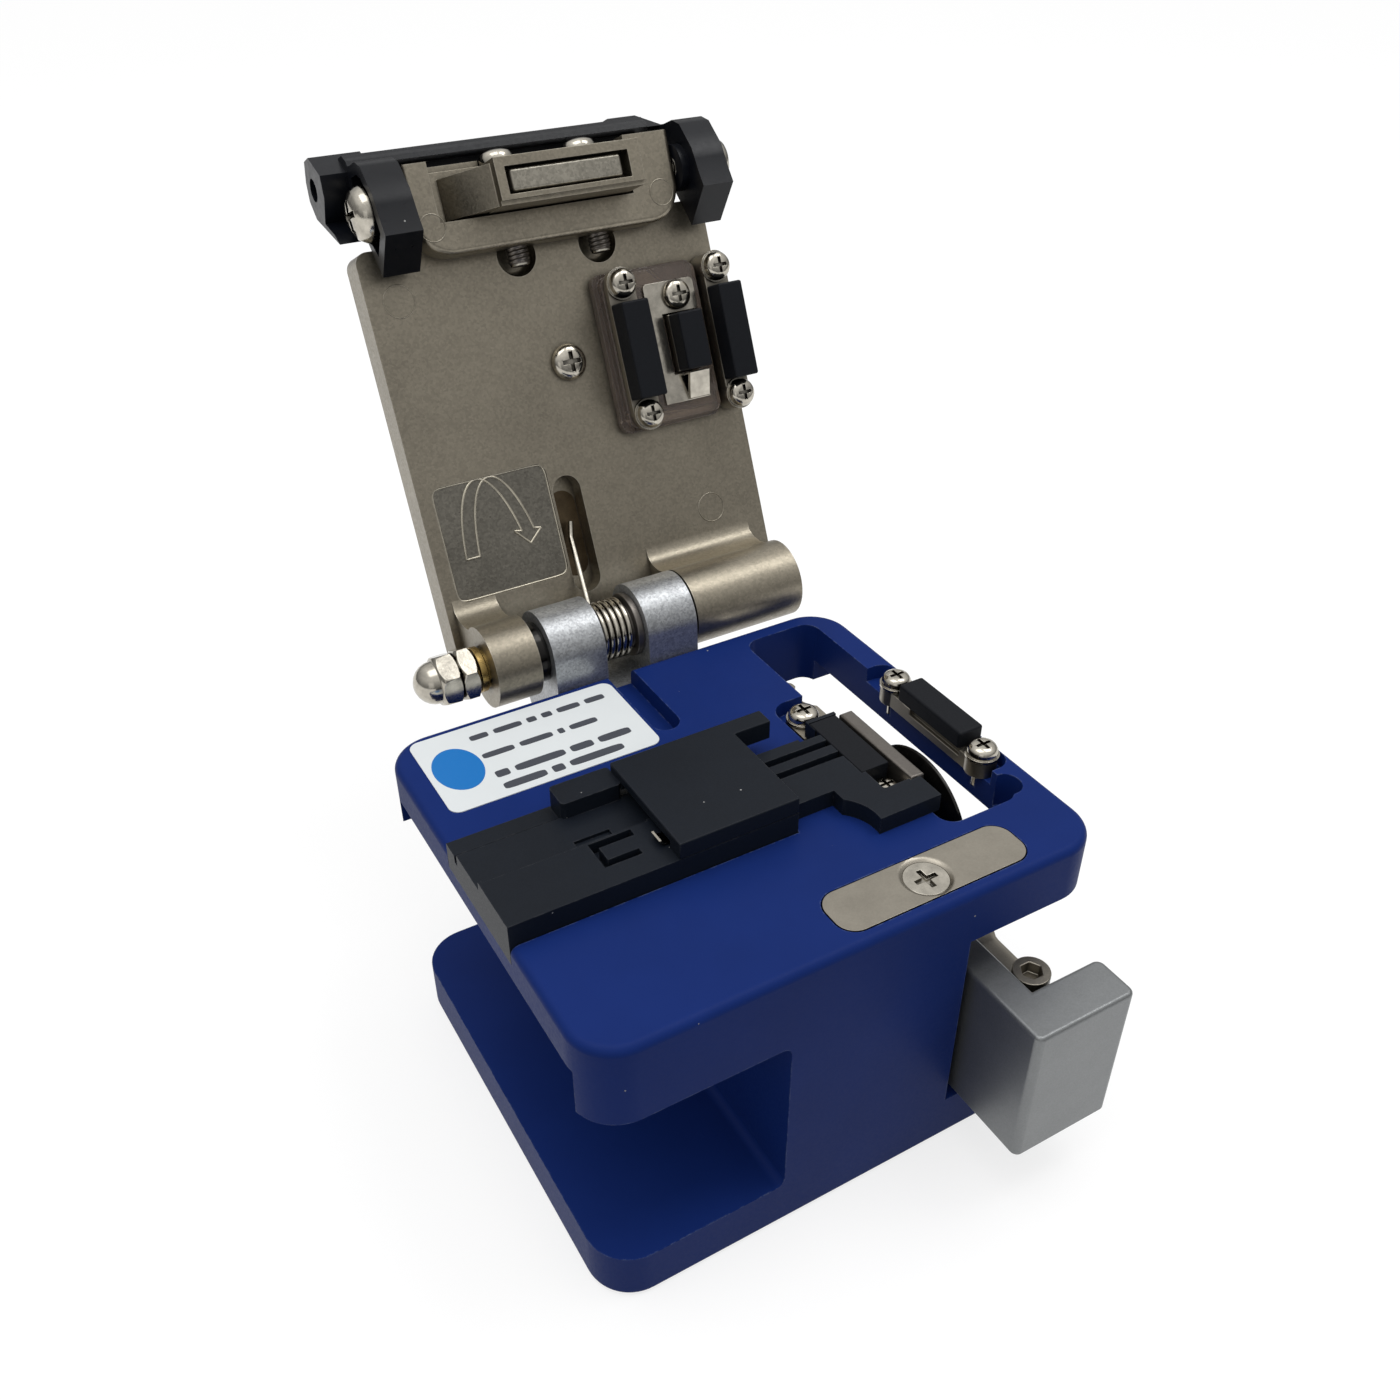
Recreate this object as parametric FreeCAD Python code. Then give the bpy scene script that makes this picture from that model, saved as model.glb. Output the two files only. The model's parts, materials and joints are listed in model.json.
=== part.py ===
"""Fibre cleaver: a C-shaped die-cast body with a deck, a fibre guide and two lower clamp pads,
a sprung lid with the upper pads and a magnet, a release lever, and a slide that carries the
round blade under the slot of the deck.

Frame: millimetres, X along the fibre and the hinge, Y away from the user towards the hinge,
Z up; the origin is the centre of the base on the surface that it stands on. The lid is drawn
closed, in the hinge's own coordinates (x, s, w), and then swung open: s runs from the hinge to
the free end and w runs up, away from the deck."""
import FreeCAD, Part
import math
import os

V = FreeCAD.Vector

# body
WIDTH, DEPTH = 63.0, 54.5            # deck, along X and Y
DECK_Z = 40.0                        # top of the deck
DECK_T, RIGHT_T = 4.7, 5.4           # plate of the deck, left and right of the column
SKIRT_Z, RIGHT_SKIRT_Z = 29.5, 32.8  # lower edges of the front skirt
BACK_SKIRT_Z = 31.5
SKIRT_T = 4.0
BASE_W, BASE_T = 61.8, 6.65
CORNER_R = 5.3
COLUMN_X0, COLUMN_X1 = -9.1, 13.4
FRONT_Y, BACK_Y = -DEPTH / 2, DEPTH / 2

# openings of the deck
SLOT_X0, SLOT_X1 = 17.2, 27.7        # slot that the blade travels in
SLOT_Y0, SLOT_Y1 = -17.45, 24.75
CHANNEL_Y0, CHANNEL_Y1 = -10.15, 6.5  # channel that holds the fibre guide
CHANNEL_X1, CHANNEL_Z = 2.6, 37.6
KEEPER = (-2.1, 22.5, -25.8, -19.4)  # x0, x1, y0, y1 of the keeper plate
KEEPER_T = 2.0
RECESS_X0, RECESS_X1, RECESS_Y0 = -1.9, 1.7, 13.2   # recess in front of the hinge spring
POCKET_Z = 38.0                      # floor of the pockets of the two lower carriers

# clamp pads: the same places below on the deck and above on the lid
PAD_TOP_Z = 42.2
PAD_LEFT_X0, PAD_LEFT_X1 = 12.9, 16.6
PAD_RIGHT_X0, PAD_RIGHT_X1 = 26.95, 30.5
PAD_Y0, PAD_Y1 = -7.2, 4.5
LEFT_EYE = (14.7, 7.1)               # screws of the lower carriers, x and y
LEFT_NOTCH = (15.2, -8.9)
RIGHT_EYES = ((28.5, 6.9), (28.5, -9.6))
WASHER_T = 0.35
REST_X0, REST_X1, REST_Y0, REST_Y1 = 17.1, 18.9, -10.8, 3.2   # bar that the fibre lies on

# fibre guide
BED_Z, GROOVE_Z, LEDGE_Z = 42.7, 41.6, 41.0
COVER_X0, COVER_X1, COVER_Z = -12.2, 2.5, 44.8
PLATE_Z = 42.2                       # top of the T-shaped end plate on the deck
GUIDE_SCREWS = ((-26.0, -1.8), (-13.0, -1.8))

# hinge
HINGE_Y, HINGE_Z = 32.65, 42.9
KNUCKLE_R = 5.2
SHAFT_R = 1.75
OPEN_ANGLE = 114.0
LID_KNUCKLES = ((-16.0, -10.2), (11.95, 28.1))
BODY_KNUCKLES = ((-8.5, -1.4), (4.6, 11.7))
BRACKET_SCREW_X, BRACKET_SCREW_Z = (-3.6, 6.8), 27.2
SPRING_R, SPRING_WIRE, SPRING_PITCH = 3.55, 0.36, 0.84
SPRING_X0, SPRING_TURNS = -0.95, 4 + 336 / 360
FIT = 0.05                           # radial running clearance of a shaft

# lid, in hinge coordinates
LID_X0, LID_X1 = -16.95, 30.8
INNER_W, OUTER_W, END_W = 6.5, 12.6, 9.5
LID_S0, NOTCH_S, LID_S1 = -1.6, 51.0, 59.4
END_X0, END_X1 = -10.0, 25.7         # narrow end of the lid, between the arms of the lever
PLATFORM_W, PLATFORM_S = 2.5, 48.6
HOLDER_X0, HOLDER_X1, HOLDER_S0, HOLDER_S1 = -6.8, 19.2, 52.4, 58.0
MAGNET = (1.3, 16.0, 53.95, 56.6)    # x0, x1, s0, s1
ANVIL_X0, ANVIL_X1, ANVIL_S0, ANVIL_S1 = 20.7, 24.3, 29.7, 37.0
ANVIL_SCREW = (22.7, 39.4)           # x and s
LID_SCREW = (6.9, 33.8)
LONG_SCREW_X, LONG_SCREW_W = (3.3, 14.6), 6.0
STUD_S = 46.4                        # where the threaded ends of the long screws stop
UPPER_SCREW_X, UPPER_SCREW_S = (14.85, 28.75), (25.3, 41.9)

# release lever, in hinge coordinates
PIVOT_S, PIVOT_W, PIVOT_R = 54.8, 3.8, 1.0
PIVOT_HEAD_R = 3.2
WEB_T, BOSS_T, BOSS_R = 1.5, 3.0, 2.6
ARM_X = ((-15.0, -10.4), (27.0, 31.4))
EAR_X = -18.3                        # outer face of the grip at the left end
ARM_S1, BAR_S0, BAR_S1 = 60.6, 60.7, 62.2
BAR_W0, BAR_W1 = 6.4, 12.6
GRIP_X0, GRIP_X1 = 20.9, 24.6        # raised grip at the right end of the bar

# slide and blade
BLOCK_X0, BLOCK_X1 = 14.3, 28.0
BLOCK_Y0, BLOCK_LIP = -38.15, 5.8
BLOCK_Z0, BLOCK_Z1 = 8.2, 27.4
LEG_T = 4.1
ARM_FOOT_Z0, ARM_FOOT_Z1 = 22.2, 25.0
BLADE_ARM_X0, BLADE_ARM_X1 = 22.1, 24.8
ARM_SCREW_X, ARM_SCREW_Y = 20.9, -29.6
BLADE_R, BLADE_X0, BLADE_X1 = 8.9, 19.6, 21.8
BLADE_Y, BLADE_Z = -8.4, 33.2
RAIL_X0, RAIL_X1, RAIL_Z, RAIL_H = 8.4, 12.4, 18.0, 5.0
RAIL_SCREW_Y = (-20.0, 0.0, 20.0)
CARRIAGE_SCREW_Y = (-20.0, -10.0)


# ---------------------------------------------------------------- building blocks

def box(x0, x1, y0, y1, z0, z1):
    """A box between two corners."""
    return Part.makeBox(x1 - x0, y1 - y0, z1 - z0, V(x0, y0, z0))


def rod_x(x0, x1, y, z, r):
    """A cylinder along X."""
    return Part.makeCylinder(r, x1 - x0, V(x0, y, z), V(1, 0, 0))


def rod_z(x, y, z0, z1, r):
    """A cylinder along Z."""
    return Part.makeCylinder(r, z1 - z0, V(x, y, z0))


def rod_y(x, z, y0, y1, r):
    """A cylinder along Y."""
    return Part.makeCylinder(r, y1 - y0, V(x, y0, z), V(0, 1, 0))


def prism(points, axis, a0, a1):
    """A closed polygon drawn in the plane across one axis and pushed from a0 to a1 along it."""
    place = {"x": lambda p: V(a0, p[0], p[1]), "y": lambda p: V(p[0], a0, p[1]),
             "z": lambda p: V(p[0], p[1], a0)}[axis]
    push = {"x": V(a1 - a0, 0, 0), "y": V(0, a1 - a0, 0), "z": V(0, 0, a1 - a0)}[axis]
    corners = [place(p) for p in points]
    return Part.Face(Part.makePolygon(corners + corners[:1])).extrude(push)


def fuse(*solids):
    """One solid of several that touch, without the seams."""
    first = solids[0]
    return first.multiFuse(list(solids[1:])).removeSplitter()


def edges(shape, test):
    """The edges whose two end points (or whose only vertex) all pass a test."""
    return [e for e in shape.Edges if all(test(v.Point) for v in e.Vertexes)]


def rounded(shape, radius, test):
    """The shape with the edges that pass a test filleted."""
    chosen = edges(shape, test)
    return shape.makeFillet(radius, chosen)


def upright(shape, radius, x0=-1e3, x1=1e3, y0=-1e3, y1=1e3):
    """The shape with its vertical edges inside a window in plan filleted."""
    chosen = [e for e in shape.Edges
              if len(e.Vertexes) == 2
              and abs(e.Vertexes[0].X - e.Vertexes[1].X) < 1e-6
              and abs(e.Vertexes[0].Y - e.Vertexes[1].Y) < 1e-6
              and x0 <= e.Vertexes[0].X <= x1 and y0 <= e.Vertexes[0].Y <= y1]
    return shape.makeFillet(radius, chosen)


def rounded_box(x0, x1, y0, y1, z0, z1, r):
    """A box with its four vertical edges rounded."""
    return upright(box(x0, x1, y0, y1, z0, z1), r)


def stadium(x, y0, y1, z0, z1, r):
    """A bar along Y with half-round ends about the two end points."""
    middle = box(x - r, x + r, y0, y1, z0, z1)
    return fuse(middle, rod_z(x, y0, z0, z1, r), rod_z(x, y1, z0, z1, r))


def hexagon(across, x0, x1, y, z):
    """A hexagonal prism along X, with its flats that far apart."""
    r = across / math.sqrt(3)
    corners = [(y + r * math.cos(math.radians(60 * k + 30)),
                z + r * math.sin(math.radians(60 * k + 30))) for k in range(6)]
    return prism(corners, "x", x0, x1)


def revolve_z(profile, x, y):
    """A turned part about a vertical axis from (radius, z) points that start and end on it."""
    corners = [V(x + r, y, z) for r, z in profile]
    face = Part.Face(Part.makePolygon(corners + corners[:1]))
    return face.revolve(V(x, y, 0), V(0, 0, 1), 360)


def cross_recess(x, y, z, depth, arm, width):
    """The tool that cuts a cross recess into a head from above."""
    one = box(x - arm, x + arm, y - width / 2, y + width / 2, z - depth, z + 1)
    two = box(x - width / 2, x + width / 2, y - arm, y + arm, z - depth, z + 1)
    return one.fuse(two)


def pan_screw(x, y, seat_z, head_r, head_h, shank_r, length, washer_t=0.0):
    """A pan-head cross-recess screw: domed head on its seat or washer, shank below it."""
    z = seat_z + washer_t
    dome = revolve_z([(0, z), (head_r, z), (head_r, z + head_h * 0.45),
                      (head_r * 0.86, z + head_h * 0.8), (head_r * 0.55, z + head_h),
                      (0, z + head_h)], x, y)
    shank = rod_z(x, y, seat_z - length, z, shank_r)
    pieces = [dome, shank]
    if washer_t:
        pieces.append(rod_z(x, y, seat_z, z, head_r + 0.25))
    cut = cross_recess(x, y, z + head_h, head_h * 0.45, head_r * 0.55, head_r * 0.24)
    return fuse(*pieces).cut(cut)


def flat_screw(x, y, top_z, head_r, head_h, shank_r, length):
    """A countersunk cross-recess screw with its flat top at top_z."""
    body = revolve_z([(0, top_z), (head_r, top_z), (head_r, top_z - 0.2),
                      (shank_r, top_z - head_h), (shank_r, top_z - head_h - length),
                      (0, top_z - head_h - length)], x, y)
    return body.cut(cross_recess(x, y, top_z, head_h * 0.45, head_r * 0.55, head_r * 0.24))


def from_lid(solid):
    """A lid solid from closed hinge coordinates to its place on the open lid.

    Drawn with s along Y and w along Z, it is turned to run forward from the hinge and then
    swung open about the hinge."""
    out = solid.mirror(V(0, 0, 0), V(0, 1, 0))
    out.translate(V(0, HINGE_Y, HINGE_Z))
    out.rotate(V(0, HINGE_Y, HINGE_Z), V(1, 0, 0), -OPEN_ANGLE)
    return out


# ---------------------------------------------------------------- body

def body_casting():
    """Base, column and deck in one C-shaped casting, with the deck's skirts and openings."""
    base = rounded_box(-BASE_W / 2, BASE_W / 2, FRONT_Y, BACK_Y, 0, BASE_T, CORNER_R)
    deck = rounded_box(-WIDTH / 2, WIDTH / 2, FRONT_Y, BACK_Y, SKIRT_Z, DECK_Z, CORNER_R)
    deck = deck.cut(box(-40, COLUMN_X0, FRONT_Y + SKIRT_T, BACK_Y - SKIRT_T, 20, DECK_Z - DECK_T))
    deck = deck.cut(box(COLUMN_X1, 40, FRONT_Y + SKIRT_T, BACK_Y - SKIRT_T, 20, DECK_Z - RIGHT_T))
    deck = deck.cut(box(COLUMN_X1, 40, -40, FRONT_Y + SKIRT_T + 1, 20, RIGHT_SKIRT_Z))
    deck = deck.cut(box(-40, 40, BACK_Y - SKIRT_T - 1, 40, 20, BACK_SKIRT_Z))
    column = box(COLUMN_X0, COLUMN_X1, FRONT_Y, BACK_Y, BASE_T - 1, DECK_Z - 1)
    body = fuse(base, deck, column)
    body = rounded(body, 1.0, lambda p: abs(p.z - DECK_Z) < 1e-4)
    body = rounded(body, 0.8, lambda p: abs(p.z) < 1e-4)
    inner = [e for e in body.Edges if len(e.Vertexes) == 2
             and all(abs(v.X - COLUMN_X0) < 1e-4 for v in e.Vertexes)
             and (all(abs(v.Z - BASE_T) < 1e-4 for v in e.Vertexes)
                  or all(abs(v.Z - SKIRT_Z) < 1e-4 for v in e.Vertexes))]
    body = body.makeFillet(1.2, inner)

    cuts = [rounded_box(SLOT_X0, SLOT_X1, SLOT_Y0, SLOT_Y1, 20, 50, 2.0),
            box(-40, CHANNEL_X1, CHANNEL_Y0, CHANNEL_Y1, CHANNEL_Z, 50),
            rounded_box(*KEEPER, DECK_Z - KEEPER_T, 50, 2.4),
            stadium((RECESS_X0 + RECESS_X1) / 2, RECESS_Y0 + 1.8, 40, DECK_Z - 2.4, 50, 1.8),
            left_pocket(), *right_pockets(),
            box(RAIL_X0, 20, -40, 40, BLOCK_Z0, 27.2)]
    for cut in cuts + screw_holes():
        body = body.cut(cut)
    return body.removeSplitter()


def screw_holes():
    """Blind holes in the deck for the screws of the guide, the keeper and the lower carriers."""
    holes = [rod_z(x, y, DECK_Z - DECK_T - 1, CHANNEL_Z + 1, 0.9) for x, y in GUIDE_SCREWS]
    holes.append(rod_z(*keeper_centre(), 35.6, DECK_Z, 1.2))
    holes += [rod_z(x, y, 35.8, POCKET_Z + 1, 0.85) for x, y in (LEFT_EYE, LEFT_NOTCH, *RIGHT_EYES)]
    holes.append(rod_z(-1.3, 15.35, 36.5, DECK_Z + 1, 0.6))
    return holes


def left_pocket():
    """Pocket beside the slot that the lower left carrier sits in."""
    return rounded_box(12.2, SLOT_X0 + 4, -11.8, 11.0, POCKET_Z, 50, 2.3)


def right_pockets():
    """Pocket in the right rim for the lower right carrier, and the deeper nook in front of it."""
    carrier = rounded_box(SLOT_X1 - 4, 30.9, -12.4, 11.8, POCKET_Z, 50, 2.1)
    nook = rounded_box(SLOT_X1 - 4, 29.3, -16.9, -13.3, 35.5, 50, 1.7)
    return carrier, nook


def keeper_centre():
    """Where the keeper's screw sits."""
    x0, x1, y0, y1 = KEEPER
    return (x0 + x1) / 2, (y0 + y1) / 2


def keeper_plate():
    """Nickel plate that the lid's magnet holds to, with a dished screw seat."""
    x0, x1, y0, y1 = KEEPER
    plate = rounded_box(x0 + 0.15, x1 - 0.15, y0 + 0.15, y1 - 0.15, DECK_Z - KEEPER_T,
                        DECK_Z + 0.05, 2.25)
    top = DECK_Z - 0.3
    dish = revolve_z([(0, DECK_Z + 1), (3.1, DECK_Z + 1), (3.1, DECK_Z + 0.05), (2.5, top),
                      (2.5, top - 0.2), (1.2, top - 1.1), (1.2, DECK_Z - 3), (0, DECK_Z - 3)],
                     *keeper_centre())
    return plate.cut(dish)


def keeper_screw():
    """Countersunk screw of the keeper plate."""
    return flat_screw(*keeper_centre(), DECK_Z - 0.3, 2.5, 1.1, 1.2, 3.0)


def slide_rail():
    """Ground steel rail in the groove of the column's right face, with a ball race each side."""
    y0, y1 = -25.5, 25.5
    rail = box(RAIL_X0, RAIL_X1, y0, y1, RAIL_Z - RAIL_H / 2, RAIL_Z + RAIL_H / 2)
    for side in (-1, 1):
        z = RAIL_Z + side * RAIL_H / 2
        race = [(RAIL_X0 + 1.4, z - side * 0.7), (RAIL_X0 + 2.1, z), (RAIL_X0 + 2.1, z + side),
                (RAIL_X0 + 0.7, z + side), (RAIL_X0 + 0.7, z)]
        rail = rail.cut(prism(race, "y", y0 - 1, y1 + 1))
    for y in RAIL_SCREW_Y:
        rail = rail.cut(rod_x(RAIL_X0 - 1, RAIL_X1 + 1, y, RAIL_Z, 0.8))
        rail = rail.cut(rod_x(RAIL_X1 - 1.6, RAIL_X1 + 1, y, RAIL_Z, 1.5))
    return rail


def rail_screws():
    """Three cap screws of the rail."""
    out = []
    for y in RAIL_SCREW_Y:
        head = rod_x(10.8, 12.1, y, RAIL_Z, 1.5)
        socket = hexagon(1.2, 11.4, 12.2, y, RAIL_Z)
        out.append(head.cut(socket).fuse(rod_x(RAIL_X0, 10.8, y, RAIL_Z, 0.8)))
    return Part.makeCompound(out)


# ---------------------------------------------------------------- fibre guide and lower pads

def fibre_guide():
    """Black guide for the fibre holder: a stepped bed in the deck's channel and a T-shaped end
    plate that lies on the deck up to the slot."""
    y0, y1 = CHANNEL_Y0 + 0.1, CHANNEL_Y1 - 0.1
    section = [(y0, CHANNEL_Z), (y1, CHANNEL_Z), (y1, LEDGE_Z), (y1 - 2.3, LEDGE_Z),
               (y1 - 2.3, LEDGE_Z - 0.9), (y1 - 3.0, LEDGE_Z - 0.9), (y1 - 3.0, GROOVE_Z),
               (-2.65, GROOVE_Z), (-2.65, BED_Z), (y0, BED_Z)]
    bed = prism(section, "x", -WIDTH / 2, CHANNEL_X1 - 0.1)
    ridge = box(-WIDTH / 2 + 0.4, COVER_X0, -2.9, -2.3, GROOVE_Z - 0.5, 50)
    bed = bed.cut(ridge)
    block = rounded_box(-19.4, COVER_X0, 2.9, y1, CHANNEL_Z, 43.7, 0.5)
    bed = fuse(bed, block)
    for x0, x1, ya, yb in ((-19.4, -18.6, -7.2, -3.2), (-19.4, -15.0, -7.2, -6.3),
                           (-19.4, -14.4, -4.2, -3.2), (-20.0, -15.8, -1.8, -0.9)):
        bed = bed.cut(box(x0, x1, ya, yb, BED_Z - 1.5, 50))
    for x, y in GUIDE_SCREWS:
        bed = bed.cut(rod_z(x, y, CHANNEL_Z - 1, CHANNEL_Z + 1.1, 0.9))
    return fuse(bed, end_plate())


def end_plate():
    """T-shaped plate: a neck along the guide, a concave front edge and a wide head at the slot."""
    z0, z1 = DECK_Z, PLATE_Z
    neck = box(COVER_X1 - 3.0, 13.0, -8.3, 1.4, z0, z1)
    head = box(12.75, 16.8, -14.8, 3.9, z0, z1)
    foot = box(8.3, 18.1, -14.8, -10.0, z0, z1)
    web = box(8.3, 18.1, -10.2, -6.4, z0, z1)
    plate = fuse(neck, head, foot, web)
    scoop = rod_z(4.9, -13.9, z0 - 1, z1 + 1, 5.1)
    plate = plate.cut(scoop)
    for x0, x1, y0, y1 in ((3.6, 13.0, -1.3, -0.3), (3.2, 13.2, -3.7, -2.7),
                           (10.0, 13.6, 0.9, 1.9)):
        plate = plate.cut(box(x0, x1, y0, y1, z1 - 0.9, z1 + 1))
    plate = plate.cut(pad_seat())
    return plate.removeSplitter()


def pad_seat():
    """What the end plate leaves free: the left pad, the front screw and the rest bar."""
    x, y = LEFT_NOTCH
    pad = box(PAD_LEFT_X0 - 0.1, 17.0, PAD_Y0 - 0.1, 3.4, DECK_Z - 1, 50)
    screw = rounded_box(x - 1.9, 18.4, y - 1.9, PAD_Y0 + 0.1, DECK_Z - 1, 50, 0.4)
    bar = box(16.75, 19.2, REST_Y0 - 0.25, REST_Y1 + 0.25, DECK_Z - 1, 50)
    return fuse(pad, screw, bar)


def guide_cover():
    """Raised cover plate of the guide, with the hook at its back right corner."""
    y0, y1 = CHANNEL_Y0 + 0.1, 5.6
    plate = box(COVER_X0, COVER_X1, y0, y1, BED_Z, COVER_Z)
    hook = box(COVER_X1 - 0.5, 7.3, 3.2, y1, DECK_Z + 2.3, COVER_Z)
    stem = box(-8.5, 0.5, 3.4, y1, LEDGE_Z, BED_Z)
    cover = fuse(plate, hook, stem)
    cover = cover.cut(box(COVER_X0 - 1, COVER_X0 + 1.6, y0 + 2.2, 3.0, BED_Z - 1, BED_Z + 0.9))
    return cover


def guide_leaf():
    """Small bright leaf spring that peeps out under the left edge of the cover."""
    outer = rod_y(-12.0, BED_Z + 1.25, -7.4, -5.6, 1.2)
    inner = rod_y(-12.0, BED_Z + 1.25, -8, -5, 0.95)
    curl = outer.cut(inner).cut(box(-14, -11.9, -9, -4, BED_Z + 1.1, BED_Z + 4))
    return curl.common(box(-14, -10.9, -9, -4, BED_Z, BED_Z + 0.9))


def guide_screws():
    """Two screws that hold the guide from under the deck."""
    out = []
    for x, y in GUIDE_SCREWS:
        screw = pan_screw(x, y, 0, 1.7, 1.2, 0.9, 3.4)
        screw.rotate(V(x, y, 0), V(1, 0, 0), 180)
        screw.translate(V(0, 0, DECK_Z - DECK_T))
        out.append(screw)
    return Part.makeCompound(out)


def lower_left_carrier():
    """Nickel carrier of the left pad: a bar with a screw at each end, and a thin scooped tail
    that reaches back along the slot."""
    z0, z1 = POCKET_Z, DECK_Z - 0.2
    bar = box(PAD_LEFT_X0 - 0.3, 16.6, -10.4, LEFT_EYE[1], z0, z1)
    eye = rod_z(*LEFT_EYE, z0, z1, 2.1)
    seat = box(PAD_LEFT_X0, PAD_LEFT_X1, PAD_Y0, 3.3, z1, DECK_Z)
    tail = rounded_box(15.5, 18.4, 6.2, 15.6, z0, z0 + 1.0, 0.8)
    tail = tail.cut(rod_z(20.5, 11.9, z0 - 1, z0 + 2, 3.2))
    tail = tail.cut(box(10, SLOT_X0 + 0.05, 10.9, 20, z0 - 1, z0 + 2))
    tail = tail.cut(box(10, 15.9, 9.0, 20, z0 - 1, z0 + 2))
    carrier = fuse(bar, eye, seat, tail)
    for x, y in (LEFT_EYE, LEFT_NOTCH):
        carrier = carrier.cut(rod_z(x, y, z0 - 1, z1 + 2, 0.85))
    return carrier


def lower_left_pad():
    """Black pad flush with the end plate."""
    return box(PAD_LEFT_X0, PAD_LEFT_X1, PAD_Y0, 3.3, DECK_Z, PAD_TOP_Z)


def lower_left_pan_screw():
    """Pan-head screw with a spring washer in the eye of the left carrier."""
    return pan_screw(*LEFT_EYE, DECK_Z - 0.2, 1.85, 1.2, 0.85, 4.0, WASHER_T)


def lower_left_flat_screw():
    """Low screw in the notch of the end plate."""
    return pan_screw(*LEFT_NOTCH, DECK_Z - 0.2, 1.6, 1.0, 0.85, 4.0)


def fibre_rest_bar():
    """Satin bar on the slot side of the left pad that the fibre lies across."""
    bar = box(REST_X0, REST_X1, REST_Y0, REST_Y1, 35.6, PAD_TOP_Z)
    bar = bar.cut(box(REST_X0 - 1, SLOT_X0, REST_Y0 - 1, REST_Y1 + 1, 35, POCKET_Z))
    top = [e for e in bar.Edges if all(abs(v.Z - PAD_TOP_Z) < 1e-4 for v in e.Vertexes)]
    bar = bar.makeFillet(0.35, top)
    foot = box(16.6, REST_X0, -6.0, 1.0, POCKET_Z, DECK_Z)
    return fuse(bar, foot)


def lower_right_carrier():
    """Nickel carrier of the right pad in the pocket of the right rim: a bar with a ledge along
    the slot and a round boss under each screw."""
    z0, z1 = POCKET_Z, DECK_Z
    bar = box(PAD_RIGHT_X0, 30.6, RIGHT_EYES[1][1], RIGHT_EYES[0][1], z0, z1)
    ledge = box(PAD_RIGHT_X0 + 0.75, PAD_RIGHT_X0 + 1, PAD_Y0 - 1, PAD_Y1 + 1, z1 - 0.1, z1)
    ends = [rod_z(x, y, z0, z1 + 0.2, 1.9) for x, y in RIGHT_EYES]
    carrier = fuse(bar, ledge, *ends)
    step = box(PAD_RIGHT_X0 - 1, PAD_RIGHT_X0 + 0.5, -7.4, 2.0, z1 - 0.9, z1 + 1)
    carrier = carrier.cut(step)
    for x, y in RIGHT_EYES:
        carrier = carrier.cut(rod_z(x, y, z0 - 1, z1 + 2, 0.85))
    return carrier


def lower_right_pad():
    """Black rubber pad of the right carrier, with softened top edges."""
    pad = box(PAD_RIGHT_X0, PAD_RIGHT_X1, PAD_Y0, PAD_Y1, DECK_Z, PAD_TOP_Z)
    top = [e for e in pad.Edges if any(abs(v.Z - PAD_TOP_Z) < 1e-4 for v in e.Vertexes)]
    return pad.makeFillet(0.35, top)


def lower_right_screws():
    """Two pan-head screws with spring washers on the right carrier."""
    return Part.makeCompound([pan_screw(x, y, DECK_Z + 0.2, 1.8, 1.25, 0.85, 4.2, WASHER_T)
                              for x, y in RIGHT_EYES])


# ---------------------------------------------------------------- hinge

def knuckle(x0, x1, neck):
    """A barrel about the hinge axis with its neck, in body coordinates."""
    barrel = rod_x(x0, x1, HINGE_Y, HINGE_Z, KNUCKLE_R)
    return fuse(barrel, prism(neck, "x", x0, x1))


def hinge_bracket():
    """Silver bracket on the back of the column: foot, two knuckles and the lid's stop."""
    y0, z_top = BACK_Y, HINGE_Z - KNUCKLE_R - 0.2
    lug = [(y0, 22.0), (y0 + 3.2, 22.0), (HINGE_Y + KNUCKLE_R, 34.5),
           (HINGE_Y + KNUCKLE_R, HINGE_Z), (HINGE_Y - KNUCKLE_R, HINGE_Z),
           (y0, DECK_Z - 1.2)]
    knuckles = [knuckle(x0, x1, lug) for x0, x1 in BODY_KNUCKLES]
    foot = prism([(y0, 22.0), (y0 + 3.2, 22.0), (HINGE_Y + KNUCKLE_R, 34.5),
                  (HINGE_Y + KNUCKLE_R, 36.6), (HINGE_Y, z_top), (y0, z_top)], "x",
                 BODY_KNUCKLES[0][0], BODY_KNUCKLES[1][1])
    bracket = fuse(foot, *knuckles)
    bracket = bracket.cut(rod_x(-20, 30, HINGE_Y, HINGE_Z, SHAFT_R))
    bracket = bracket.cut(rod_z(SPRING_X0 + SPRING_PITCH * SPRING_TURNS, HINGE_Y + SPRING_R,
                                35.4, 40, 0.42))
    for x in BRACKET_SCREW_X:
        bracket = bracket.cut(rod_y(x, BRACKET_SCREW_Z, y0 - 1, y0 + 20, 1.6))
        bracket = bracket.cut(rod_y(x, BRACKET_SCREW_Z, y0 + 3.0, y0 + 20, 3.1))
    return bracket


def bracket_screws():
    """Two cap screws that hold the bracket to the column."""
    out = []
    for x in BRACKET_SCREW_X:
        head = rod_y(x, BRACKET_SCREW_Z, BACK_Y + 3.0, BACK_Y + 5.6, 2.75)
        socket = hexagon(2.5, 0, 1.6, 0, 0)
        socket.rotate(V(0, 0, 0), V(0, 0, 1), 90)
        socket.translate(V(x, BACK_Y + 4.1, BRACKET_SCREW_Z))
        out.append(head.cut(socket).fuse(rod_y(x, BRACKET_SCREW_Z, BACK_Y, BACK_Y + 3.0, 1.5)))
    return Part.makeCompound(out)


def hinge_shaft():
    """Steel shaft through all four knuckles, threaded at its left end."""
    return rod_x(-22.0, 24.0, HINGE_Y, HINGE_Z, SHAFT_R)


def shaft_bore(x0, x1, r):
    """The tool that bores a part for the shaft or for something on it."""
    return rod_x(x0, x1, HINGE_Y, HINGE_Z, r)


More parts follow.
